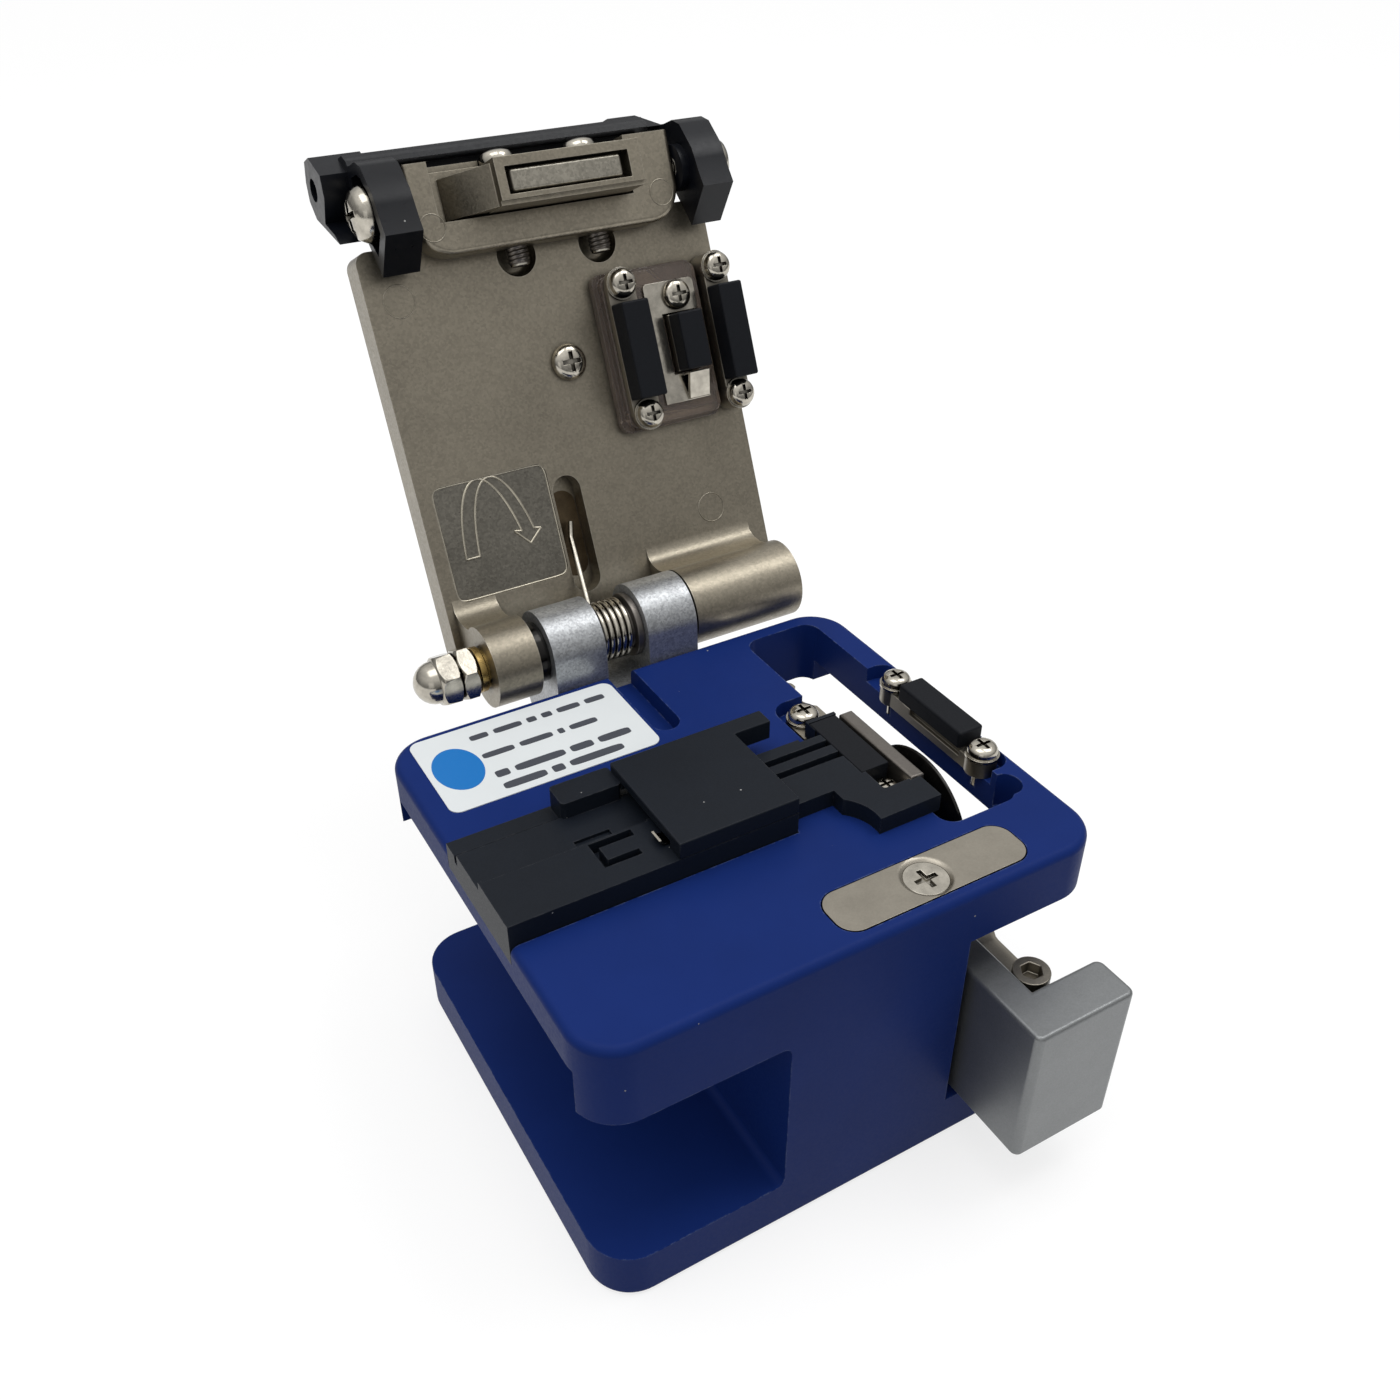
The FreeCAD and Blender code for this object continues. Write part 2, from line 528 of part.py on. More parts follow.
def hinge_washer():
    """Dark thrust washer between the left lid knuckle and the body knuckle."""
    return shaft_bore(-10.05, -8.5, 3.9).cut(shaft_bore(-11, -8, SHAFT_R))


def hinge_bush():
    """Brass bush in the left lid knuckle; its collar stands out of the knuckle's face."""
    collar = shaft_bore(-17.2, -16.3, 2.9)
    sleeve = shaft_bore(-16.3, -10.4, 2.6)
    return collar.fuse(sleeve).removeSplitter().cut(shaft_bore(-20, 0, SHAFT_R + FIT))


def lock_nut():
    """Thin hexagonal nut that sets the play of the hinge."""
    nut = hexagon(6.2, -19.65, -17.35, HINGE_Y, HINGE_Z)
    chamfer = revolved_x([(-19.65, 2.9), (-19.1, 3.6), (-17.9, 3.6), (-17.35, 2.9)])
    return nut.common(chamfer).cut(shaft_bore(-30, 0, SHAFT_R))


def revolved_x(profile):
    """A turned part about the hinge axis from (x, radius) points."""
    corners = [V(profile[0][0], HINGE_Y, HINGE_Z)]
    corners += [V(x, HINGE_Y, HINGE_Z + r) for x, r in profile]
    corners += [V(profile[-1][0], HINGE_Y, HINGE_Z)]
    face = Part.Face(Part.makePolygon(corners + corners[:1]))
    return face.revolve(V(0, HINGE_Y, HINGE_Z), V(1, 0, 0), 360)


def acorn_nut():
    """Domed cap nut on the end of the shaft."""
    nut = hexagon(6.0, -22.3, -19.7, HINGE_Y, HINGE_Z)
    chamfer = revolved_x([(-22.3, 2.85), (-21.9, 3.3), (-20.1, 3.5), (-19.7, 2.9)])
    dome = revolved_x([(-22.3 - 2.7 * math.sin(math.radians(a)), 2.7 * math.cos(math.radians(a)))
                       for a in range(0, 91, 15)][::-1])
    return nut.common(chamfer).fuse(dome).removeSplitter().cut(shaft_bore(-22.0, 0, SHAFT_R))


def bar_between(a, b, r):
    """A round bar with a ball at its first end."""
    along = b - a
    return Part.makeCylinder(r, along.Length, a, along).fuse(Part.makeSphere(r, a))


def torsion_spring():
    """Close-wound spring on its sleeve; one leg goes up into the lid, one down to the bracket."""
    coil = Part.makeHelix(SPRING_PITCH, SPRING_PITCH * SPRING_TURNS, SPRING_R, 0, True)
    coil.rotate(V(0, 0, 0), V(0, 1, 0), 90)
    coil.rotate(V(0, 0, 0), V(1, 0, 0), 180 - OPEN_ANGLE)
    coil.translate(V(SPRING_X0, HINGE_Y, HINGE_Z))
    path = Part.Wire(coil.Edges)
    edge = path.Edges[0]
    start = edge.valueAt(edge.FirstParameter)
    wire = Part.Wire(Part.makeCircle(SPRING_WIRE, start, edge.tangentAt(edge.FirstParameter)))
    body = path.makePipeShell([wire], True, True)
    last = V(SPRING_X0 + SPRING_PITCH * SPRING_TURNS, HINGE_Y + SPRING_R, HINGE_Z)
    lid_leg = from_lid(bar_between(V(SPRING_X0, 0, SPRING_R), V(3.2, 14.5, 8.8), SPRING_WIRE))
    foot_leg = bar_between(last, V(last.x, last.y, 35.6), SPRING_WIRE)
    return body.multiFuse([lid_leg, foot_leg])


def spring_sleeve():
    """Grey sleeve on the shaft that the spring is wound round, with a flange at its right end."""
    tube = shaft_bore(-1.35, 3.7, 3.1)
    flange = shaft_bore(3.7, 4.55, 4.2)
    return tube.fuse(flange).removeSplitter().cut(shaft_bore(-5, 8, SHAFT_R))


# ---------------------------------------------------------------- lid

def below(solid, w):
    """A part drawn upright from its seat at zero, turned over to hang from height w."""
    out = solid.mirror(V(0, 0, 0), V(0, 0, 1))
    out.translate(V(0, 0, w))
    return out


def lid_pan_screw(x, s, seat, head_r, head_h, length, washer_t=0.0):
    """A pan-head screw of the lid, its head towards the deck."""
    return below(pan_screw(x, s, 0, head_r, head_h, 0.85, length, washer_t), seat)


def lid_casting():
    """Nickel-coloured casting: plate, two hinge knuckles, the rim at the free end."""
    plate = box(LID_X0, LID_X1, LID_S0, NOTCH_S, INNER_W, OUTER_W)
    plate = upright(plate, 1.5)
    end = box(END_X0, END_X1, NOTCH_S - 3, LID_S1, INNER_W, END_W)
    lid = fuse(plate, end)
    lid = rounded(lid, 1.6, lambda p: abs(p.z - OUTER_W) < 1e-4)
    lid = rounded(lid, 2.2, lambda p: abs(p.z - END_W) < 1e-4 and abs(p.y - LID_S1) < 1e-4)
    platform = box(END_X0, END_X1, PLATFORM_S, LID_S1, PLATFORM_W, INNER_W + 0.5)
    platform = upright(platform, 4.5, y1=PLATFORM_S + 0.1)
    platform = rounded(platform, 0.7, lambda p: abs(p.z - PLATFORM_W) < 1e-4 and p.y < LID_S1 - 1)
    lid = fuse(lid, platform, *[lid_knuckle(x0, x1) for x0, x1 in LID_KNUCKLES])
    cuts = [box(HOLDER_X0, HOLDER_X1, HOLDER_S0, 70, 0, INNER_W),
            stadium(2.75, 6.4, 18.0, INNER_W - 1, INNER_W + 3.0, 1.95),
            box(ANVIL_X0 - 0.2, ANVIL_X1 + 0.2, ANVIL_S0 - 0.2, ANVIL_S1 + 0.2, 5, INNER_W + 1.4),
            rounded_box(-15.1, 0.5, 7.4, 22.2, INNER_W - 1, INNER_W + 0.2, 1.4)]
    cuts += [stud_pocket(x) for x in LONG_SCREW_X]
    cuts += [rod_y(x, LONG_SCREW_W, STUD_S, 70, 1.2) for x in LONG_SCREW_X]
    cuts += [rod_y(x, LONG_SCREW_W, LID_S1 - 0.8, 70, 2.3) for x in LONG_SCREW_X]
    cuts += [rod_x(x0, x1, 0, 0, r) for x0, x1, r in
             ((-16.3, -10.1, 2.6), (-17, -16.1, 3.0), (11.5, 30, SHAFT_R + FIT))]
    cuts += [rod_x(x0, x1, PIVOT_S, PIVOT_W, PIVOT_R) for x0, x1 in ((-12, -6.9), (22.4, 27))]
    cuts += [rod_z(x, s, 0, INNER_W + 3.4, 0.85) for x, s in (LID_SCREW, *plate_screws())]
    for cut in cuts:
        lid = lid.cut(cut)
    return from_lid(lid.removeSplitter())


def plate_screws():
    """Places of the four clamp screws and the anvil's screw, as x and s."""
    return [(x, s) for x in UPPER_SCREW_X for s in UPPER_SCREW_S] + [ANVIL_SCREW]


def stud_pocket(x):
    """Round-ended scoop in front of the rim that a threaded screw end shows in."""
    scoop = rod_z(x, 47.8, INNER_W - 1, INNER_W + 2.4, 2.6)
    low = [e for e in scoop.Edges if all(abs(v.Z - INNER_W - 2.4) < 1e-4 for v in e.Vertexes)]
    return scoop.makeFillet(1.0, low)


def lid_knuckle(x0, x1):
    """Barrel about the hinge axis with its neck and the ramp up to the inner face."""
    neck = [(-4.6, 1.6), (-1.6, INNER_W + 1), (8.0, INNER_W + 1), (8.0, INNER_W),
            (6.6, 6.3), (5.6, 5.4), (5.0, 4.0), (4.7, 2.4)]
    block = prism(neck, "x", x0, x1)
    return fuse(rod_x(x0, x1, 0, 0, KNUCKLE_R), block)


def magnet_holder():
    """Block with the magnet's seat, and the ramp that rises to it."""
    base = box(HOLDER_X0 + 0.05, HOLDER_X1 - 0.05, HOLDER_S0 + 0.05, HOLDER_S1 + 0.5, 5.0, INNER_W)
    block = box(-0.5, 18.6, 52.6, HOLDER_S1, -2.2, 5.2)
    lip = box(-0.5, 18.6, 53.1, HOLDER_S1, -2.7, -2.0)
    ramp = prism([(-5.2, 5.2), (-5.2, 4.6), (-0.6, -1.4), (-0.4, -1.4), (-0.4, 5.2)],
                 "y", 52.7, 57.6)
    holder = fuse(base, block, lip, ramp)
    holder = holder.cut(box(MAGNET[0] - 0.6, MAGNET[1] + 0.9, MAGNET[2] - 0.25, MAGNET[3] + 0.25,
                            -5, -0.2))
    for x in LONG_SCREW_X:
        holder = holder.cut(rod_y(x, LONG_SCREW_W, 40, 70, 1.2))
    return from_lid(holder)


def magnet():
    """Bar magnet on the floor of its seat, with rounded edges."""
    x0, x1, s0, s1 = MAGNET
    bar = box(x0, x1, s0, s1, -2.4, -0.2)
    soft = [e for e in bar.Edges if not all(abs(v.Z + 0.2) < 1e-4 for v in e.Vertexes)]
    return from_lid(bar.makeFillet(0.4, soft))


def long_screws():
    """Two long screws through the holder; the ends show in the half-round pockets."""
    out = []
    for x in LONG_SCREW_X:
        screw = pan_screw(0, 0, 0, 2.2, 1.6, 1.2, 12.2)
        screw.rotate(V(0, 0, 0), V(1, 0, 0), -90)
        screw.translate(V(x, LID_S1 - 0.8, LONG_SCREW_W))
        out.append(from_lid(screw))
    return Part.makeCompound(out)


def clamp_base():
    """Smoky clear stepped plate under the upper pads."""
    low = rounded_box(12.0, 26.75, 23.2, 43.6, 5.2, INNER_W, 1.2)
    high = rounded_box(12.6, 26.4, 23.8, 43.1, 4.0, 5.3, 1.0)
    plate = fuse(low, high)
    plate = plate.cut(box(ANVIL_X0 - 0.2, ANVIL_X1 + 0.2, ANVIL_S0 - 0.2, ANVIL_S1 + 0.2, 0, 9))
    for x, s in plate_screws():
        plate = plate.cut(rod_z(x, s, 0, 9, 0.85))
    return from_lid(plate)


def upper_carrier(x0, x1, screw_x, top):
    """Nickel bar of an upper pad, with rounded ends round its two screws."""
    bar = box(x0, x1, UPPER_SCREW_S[0], UPPER_SCREW_S[1], 2.8, top)
    ends = [rod_z(screw_x, s, 2.8, top, 1.95) for s in UPPER_SCREW_S]
    bar = fuse(bar, *ends)
    for s in UPPER_SCREW_S:
        bar = bar.cut(rod_z(screw_x, s, 0, 9, 0.85))
    return from_lid(bar)


def upper_left_carrier():
    """Carrier of the left pad, on the clear plate."""
    return upper_carrier(12.85, 16.75, UPPER_SCREW_X[0], 4.0)


def upper_right_carrier():
    """Deeper carrier of the right pad, on the lid itself."""
    return upper_carrier(27.0, 30.5, UPPER_SCREW_X[1], INNER_W)


def upper_pad(x0, x1):
    """Black pad of the upper clamp."""
    pad = box(x0, x1, 27.35, 39.5, -0.5, 2.8)
    face = [e for e in pad.Edges if any(abs(v.Z + 0.5) < 1e-4 for v in e.Vertexes)]
    return from_lid(pad.makeFillet(0.3, face))


def upper_left_pad():
    """Pad over the left lower pad."""
    return upper_pad(12.9, 16.7)


def upper_right_pad():
    """Pad over the right lower pad."""
    return upper_pad(27.0, 30.5)


def upper_clamp_screws():
    """Four pan-head screws with spring washers that hold the two carriers."""
    return Part.makeCompound([from_lid(lid_pan_screw(x, s, 2.8, 1.8, 1.35, 6.8, WASHER_T))
                              for x in UPPER_SCREW_X for s in UPPER_SCREW_S])


def anvil_screw():
    """Screw of the anvil's leaf spring."""
    return from_lid(lid_pan_screw(*ANVIL_SCREW, 3.6, 1.9, 1.2, 6.0))


def lid_screw():
    """Single screw in the middle of the lid."""
    return from_lid(lid_pan_screw(*LID_SCREW, INNER_W, 2.3, 1.5, 3.2))


def anvil_leaf():
    """Bright leaf spring that holds the anvil, with a bent tab in front of it."""
    head = rounded_box(18.2, 25.6, 37.2, 41.3, 3.6, 4.0, 0.6)
    strip = box(18.2, 20.2, 25.8, 38.0, 3.6, 4.0)
    foot = box(18.2, 24.9, 25.8, 29.4, 3.6, 4.0)
    tab = prism([(25.9, 3.6), (26.0, 3.2), (29.3, 1.9), (29.4, 2.3), (29.4, 3.6)], "x", 21.6, 24.6)
    tab = tab.cut(prism([(26.6, 3.7), (29.1, 2.5), (29.1, 3.7)], "x", 21.5, 24.7))
    leaf = fuse(head, strip, foot, tab)
    return from_lid(leaf.cut(rod_z(*ANVIL_SCREW, 0, 9, 0.85)))


def anvil_pad():
    """Middle pad that bends the fibre over the blade's cut."""
    pad = box(ANVIL_X0, ANVIL_X1, ANVIL_S0, ANVIL_S1, 0.1, 3.0)
    face = [e for e in pad.Edges if any(abs(v.Z - 0.1) < 1e-4 for v in e.Vertexes)]
    return from_lid(pad.makeFillet(0.3, face))


def anvil_stem():
    """Guide block of the anvil in the clear plate."""
    return from_lid(box(ANVIL_X0, ANVIL_X1, ANVIL_S0, ANVIL_S1, 3.0, 6.7))


# ---------------------------------------------------------------- release lever

FOOT = [(ARM_S1, 6.4), (60.5, 3.2), (59.6, 1.5), (56.3, -0.5), (54.9, -0.8), (53.1, -1.2),
        (51.4, -1.7), (47.5, 3.4), (49.4, 4.4)]     # arm's outline towards the deck
EAR = [(62.9, 10.3), (62.9, 12.4), (60.8, 14.0), (58.7, 14.5), (56.4, 13.4), (52.2, 6.0),
       (53.5, 7.2), (55.3, 10.1), (57.7, 7.65), (60.2, 7.1)]


def lever_arm(x0, x1, outside, back):
    """One arm: a web on its inner side, a curved wall round the foot, a boss at the pivot."""
    whole = prism(FOOT + back, "x", x0, x1)
    hollow = [(59.3, 6.3), (59.2, 3.7), (58.6, 2.5), (55.9, 0.9), (53.0, 0.2), (52.0, 0.0),
              (49.8, 3.0), (50.9, 3.9), (53.9, 7.0), (55.2, 9.0), (57.5, 6.6)]
    if outside < 0:
        pocket = prism(hollow, "x", x0 - 1, x1 - WEB_T)
        boss = rod_x(x1 - WEB_T - BOSS_T, x1 - WEB_T, PIVOT_S, PIVOT_W, BOSS_R)
        relief = rod_x(x0 - 5, x1 - WEB_T - BOSS_T + 0.6, PIVOT_S, PIVOT_W, PIVOT_HEAD_R + 0.2)
    else:
        pocket = prism(hollow, "x", x0 + WEB_T, x1 + 1)
        boss = rod_x(x0 + WEB_T, x0 + WEB_T + BOSS_T, PIVOT_S, PIVOT_W, BOSS_R)
        relief = rod_x(x0 + WEB_T + BOSS_T - 0.6, x1 + 5, PIVOT_S, PIVOT_W, PIVOT_HEAD_R + 0.2)
    return fuse(whole.cut(pocket).cut(relief), boss)


def lever():
    """U-shaped black lever: two arms beside the lid's end, a bar across it, and a raised grip at
    each end of the bar; the left one stands out as an ear."""
    left = lever_arm(*ARM_X[0], -1, [(52.2, 6.0), (56.4, 13.4), (BAR_S1, BAR_W1), (BAR_S1, 8.0)])
    right = lever_arm(*ARM_X[1], 1, [(52.2, 6.0), (56.4, 12.2), (ARM_S1, BAR_W1)])
    section = [(BAR_S0, BAR_W0), (61.3, 6.6), (BAR_S1, 7.8), (BAR_S1, 11.9), (61.6, BAR_W1),
               (BAR_S0, BAR_W1)]
    bar = prism(section, "x", ARM_X[0][0], 25.1)
    ear = prism(EAR, "x", EAR_X, ARM_X[0][0] + 3.1)
    corner = [(BAR_S0, 6.7), (62.7, 9.0), (62.7, 11.4), (61.7, BAR_W1),
              (BAR_S0, BAR_W1)]
    slope = [(GRIP_X0 - 1, 60), (GRIP_X0 - 1, 64), (GRIP_X1 - 1.3, 64), (27.3, 60.8), (29, 60.8),
             (29, 60)]
    grip = prism(corner, "x", GRIP_X0, 28.3).common(prism(slope, "z", 0, 20))
    gusset = box(26.1, ARM_X[1][0] + WEB_T, 58.2, BAR_S0 + 0.1, 8.4, BAR_W1)
    shape = fuse(left, right, bar, ear, grip, gusset)
    shape = shape.cut(rod_x(-30, -15.5, 59.4, 11.4, 1.35))
    return from_lid(shape.cut(rod_x(-40, 40, PIVOT_S, PIVOT_W, PIVOT_R + 0.5 + FIT)))


def pivot_screws():
    """Two shoulder screws that the lever turns on."""
    out = []
    for side, web, lid_face, tip in ((-1, ARM_X[0][1], END_X0, -7.0), (1, ARM_X[1][0], END_X1, 22.5)):
        seat = web + side * (WEB_T + BOSS_T + 0.1)
        r = PIVOT_HEAD_R
        head = revolve_z([(0, 0), (r, 0), (r, 0.5), (r * 0.85, 1.4), (r * 0.5, 2.0), (0, 2.1)], 0, 0)
        head = head.cut(cross_recess(0, 0, 2.1, 1.1, 1.8, 0.7))
        shoulder = rod_z(0, 0, -abs(lid_face - seat), 0, PIVOT_R + 0.5)
        body = fuse(head, shoulder, rod_z(0, 0, -abs(tip - seat), 0, PIVOT_R))
        body.rotate(V(0, 0, 0), V(0, 1, 0), 90 * side)
        body.translate(V(seat, PIVOT_S, PIVOT_W))
        out.append(from_lid(body))
    return Part.makeCompound(out)


# ---------------------------------------------------------------- slide and blade

def slide_block():
    """Satin aluminium block: front lip and a leg that runs back beside the column."""
    block = box(BLOCK_X0, BLOCK_X1, BLOCK_Y0, BLOCK_Y0 + BLOCK_LIP, BLOCK_Z0, BLOCK_Z1)
    leg = box(BLOCK_X0, BLOCK_X0 + LEG_T, BLOCK_Y0, -5.0, BLOCK_Z0, BLOCK_Z1)
    foot = box(BLOCK_X0, 23.6, BLOCK_Y0 + 3, -26.4, BLOCK_Z0, ARM_FOOT_Z0)
    shape = fuse(block, leg, foot)
    shape = upright(shape, 1.0, x0=BLOCK_X1 - 0.01, y1=-30)
    shape = upright(shape, 0.9, x1=BLOCK_X0 + 0.01)
    shape = rounded(shape, 0.5, lambda p: abs(p.z - BLOCK_Z1) < 1e-4)
    shape = shape.cut(rod_z(ARM_SCREW_X, ARM_SCREW_Y, 15, 30, 1.3))
    for y in CARRIAGE_SCREW_Y:
        shape = shape.cut(rod_x(BLOCK_X0 - 1, BLOCK_X0 + 6, y, RAIL_Z, 1.0))
        shape = shape.cut(rod_x(BLOCK_X0 + 2.1, BLOCK_X0 + 6, y, RAIL_Z, 1.9))
    return shape


def carriage():
    """Bearing carriage that runs on the rail."""
    body = box(9.2, BLOCK_X0, -25.0, -5.0, 13.0, 23.0)
    body = body.cut(box(0, 12.5, -30, 0, 15.42, 20.58))
    for z0, z1 in ((14.6, 16.2), (19.8, 21.4)):
        body = body.cut(box(9.0, 9.5, -30, 0, z0, z1))
    for y in CARRIAGE_SCREW_Y:
        body = body.cut(rod_x(12, 16, y, RAIL_Z, 1.0))
    return body


def carriage_screws():
    """Two cap screws that hold the block's leg to the carriage."""
    out = []
    for y in CARRIAGE_SCREW_Y:
        head = rod_x(BLOCK_X0 + 2.1, BLOCK_X0 + 4.0, y, RAIL_Z, 1.9)
        socket = hexagon(1.6, BLOCK_X0 + 2.8, BLOCK_X0 + 5, y, RAIL_Z)
        out.append(head.cut(socket).fuse(rod_x(12.55, BLOCK_X0 + 2.1, y, RAIL_Z, 1.0)))
    return Part.makeCompound(out)


def blade_arm():
    """Nickel arm from the block's screw up to the blade's axle, with a round speckled end."""
    z0, z1 = ARM_FOOT_Z0, ARM_FOOT_Z1
    foot = rounded_box(18.6, BLADE_ARM_X1, -32.2, -26.4, z0, z1, 1.2)
    side = [(-31.0, z0), (-26.8, z0), (-19.0, 25.6), (-9.5, 28.8), (-4.0, 31.0), (-8.4, 36.4),
            (-11.6, 35.4), (-17.6, 32.0), (-25.0, 29.6), (-26.9, z1), (-31.0, z1)]
    rib = prism(side, "x", BLADE_ARM_X0, BLADE_ARM_X1)
    end = rod_x(BLADE_ARM_X0, BLADE_ARM_X1, -5.0, 34.2, 5.4)
    arm = fuse(foot, rib, end)
    arm = arm.cut(rod_z(ARM_SCREW_X, ARM_SCREW_Y, 20, 30, 1.3))
    return arm.cut(rod_x(20, 30, BLADE_Y, BLADE_Z, 1.2))


def arm_screw():
    """Upright cap screw of the blade arm, with a plain washer."""
    z = ARM_FOOT_Z1
    washer = rod_z(ARM_SCREW_X, ARM_SCREW_Y, z, z + 0.5, 2.4)
    head = rod_z(ARM_SCREW_X, ARM_SCREW_Y, z + 0.5, z + 3.2, 2.15)
    shank = rod_z(ARM_SCREW_X, ARM_SCREW_Y, z - 8.0, z + 0.5, 1.3)
    socket = hexagon(2.2, 0, 3, 0, 0)
    socket.rotate(V(0, 0, 0), V(0, 1, 0), -90)
    socket.translate(V(ARM_SCREW_X, ARM_SCREW_Y, z + 1.8))
    return fuse(washer, head, shank).cut(socket)


def axis_turned(profile):
    """A turned part about the blade's axis from (x, radius) points."""
    corners = [V(profile[0][0], BLADE_Y, BLADE_Z)]
    corners += [V(x, BLADE_Y, BLADE_Z + r) for x, r in profile]
    corners += [V(profile[-1][0], BLADE_Y, BLADE_Z)]
    face = Part.Face(Part.makePolygon(corners + corners[:1]))
    return face.revolve(V(0, BLADE_Y, BLADE_Z), V(1, 0, 0), 360)


def blade():
    """Round blade: a bored disc with a ground step and a bevel to its edge on both sides."""
    x0, x1 = BLADE_X0, BLADE_X1
    disc = axis_turned([(x0, 5.6), (x0 + 0.25, 6.0), (x0 + 0.25, 7.5), (x0 + 0.95, BLADE_R),
                        (x1 - 0.95, BLADE_R), (x1 - 0.25, 7.5), (x1 - 0.25, 6.0), (x1, 5.6)])
    return disc.cut(rod_x(x0 - 1, x1 + 1, BLADE_Y, BLADE_Z, 1.5 + FIT))


def blade_axle():
    """Shoulder screw that the blade turns on."""
    head = rod_x(19.0, BLADE_X0 - 0.05, BLADE_Y, BLADE_Z, 2.0)
    head = head.cut(box(18, 19.25, BLADE_Y - 3, BLADE_Y + 3, BLADE_Z - 0.3, BLADE_Z + 0.3))
    shoulder = rod_x(BLADE_X0 - 0.05, BLADE_ARM_X0, BLADE_Y, BLADE_Z, 1.5)
    thread = rod_x(BLADE_ARM_X0, BLADE_ARM_X1, BLADE_Y, BLADE_Z, 1.2)
    return fuse(head, shoulder, thread)


def deck_label():
    """Thin white label on the deck."""
    return rounded_box(-28.8, -2.3, 11.45, 25.9, DECK_Z, DECK_Z + 0.1, 1.3)


NODES = (
    body_casting, keeper_plate, keeper_screw, deck_label, slide_rail, rail_screws,
    fibre_guide, guide_cover, guide_leaf, guide_screws,
    lower_left_carrier, lower_left_pad, lower_left_pan_screw, lower_left_flat_screw,
    fibre_rest_bar, lower_right_carrier, lower_right_pad, lower_right_screws,
    hinge_bracket, bracket_screws, hinge_shaft, hinge_washer, hinge_bush, lock_nut, acorn_nut,
    spring_sleeve, torsion_spring,
    lid_casting, magnet_holder, magnet, long_screws, lid_screw, clamp_base,
    upper_left_carrier, upper_right_carrier, upper_left_pad, upper_right_pad,
    upper_clamp_screws, anvil_leaf, anvil_screw, anvil_pad, anvil_stem, pivot_screws, lever,
    slide_block, carriage, carriage_screws, blade_arm, arm_screw, blade, blade_axle,
)

os.makedirs("parts", exist_ok=True)
for node in NODES:
    shape = node()
    shape.exportStep("parts/" + node.__name__ + ".step")
    print(node.__name__, shape.isValid(), len(shape.Solids), round(shape.Volume, 1))
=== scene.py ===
# %% [markdown]
# # A fibre cleaver, dressed for the camera
# A fibre cleaver scores a glass fibre with a round blade and snaps it over a small anvil.
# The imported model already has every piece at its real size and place, so this lesson adds what a
# construction model leaves out: broken edges, cast and coated skins, threads, cast marks, light.
# Everything is in metres and in the model's own frame: X along the hinge, Y to the back, Z up.

# %% Load the frame
import json
import math
import bmesh
import bpy
import numpy as np
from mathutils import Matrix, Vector

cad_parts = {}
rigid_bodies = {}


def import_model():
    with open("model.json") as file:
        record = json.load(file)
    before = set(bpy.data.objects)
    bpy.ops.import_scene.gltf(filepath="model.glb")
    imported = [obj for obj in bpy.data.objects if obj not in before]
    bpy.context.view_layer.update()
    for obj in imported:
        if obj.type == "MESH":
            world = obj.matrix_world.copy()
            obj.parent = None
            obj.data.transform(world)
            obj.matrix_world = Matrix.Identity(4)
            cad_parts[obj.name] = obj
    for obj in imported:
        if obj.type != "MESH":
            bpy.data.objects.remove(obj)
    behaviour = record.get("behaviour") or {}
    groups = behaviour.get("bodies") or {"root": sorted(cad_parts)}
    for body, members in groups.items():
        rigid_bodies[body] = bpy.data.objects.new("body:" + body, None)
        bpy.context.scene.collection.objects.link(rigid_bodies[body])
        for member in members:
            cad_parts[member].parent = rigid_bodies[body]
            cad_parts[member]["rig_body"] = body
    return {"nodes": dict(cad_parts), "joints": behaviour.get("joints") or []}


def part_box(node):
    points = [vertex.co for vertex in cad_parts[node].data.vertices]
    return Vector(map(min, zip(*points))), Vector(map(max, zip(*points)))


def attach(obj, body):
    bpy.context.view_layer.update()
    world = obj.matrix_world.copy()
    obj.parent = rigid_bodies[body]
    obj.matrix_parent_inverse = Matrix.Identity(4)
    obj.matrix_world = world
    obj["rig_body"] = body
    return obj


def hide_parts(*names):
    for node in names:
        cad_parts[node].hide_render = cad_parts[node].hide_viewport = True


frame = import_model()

MM = 0.001
nodes = frame["nodes"]
joints = {j["name"]: j for j in frame["joints"]}
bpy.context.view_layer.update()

# %% [markdown]
# ## Places on the open lid
# The lid stands open, so marks on it are easiest to place in the hinge's own coordinates: s runs
# from the hinge towards the lid's free end and w runs outwards through the lid's thickness. The
# hinge joint gives the axis, and its range gives the angle between open and shut.

# %% Lid coordinates
HINGE = np.array(joints["lid_hinge"]["pos_m"])
OPEN = math.radians(joints["lid_hinge"]["range_deg"][1])
ACROSS = np.array([1.0, 0.0, 0.0])
ALONG = np.array([0.0, -math.cos(OPEN), math.sin(OPEN)])
OUTWARD = np.array([0.0, math.sin(OPEN), math.cos(OPEN)])
LID_FACE = 6.5        # w of the lid's inner face
PANEL_FLOOR = 6.7     # w of the shallow panel pressed into that face
RIM_FACE = 2.5        # w of the raised rim at the lid's free end


def on_lid(x, s, w):
    """Millimetres (x, s, w) of the lid to metres: hinge + x across + s along + w outward."""
    x, s, w = np.broadcast_arrays(x, s, w)
    place = x[..., None] * ACROSS + s[..., None] * ALONG + w[..., None] * OUTWARD
    return place * MM + np.array([0.0, HINGE[1], HINGE[2]])


print("lid opens to", round(math.degrees(OPEN)), "degrees")

# %% [markdown]
# ## Surfaces from arrays
# Every new piece is a grid of points worked out by a formula. One helper turns such a grid into a
# mesh: it links each point with its neighbours, round the columns always and round the rows where
# the piece is a closed ring.

# %% Grid to mesh


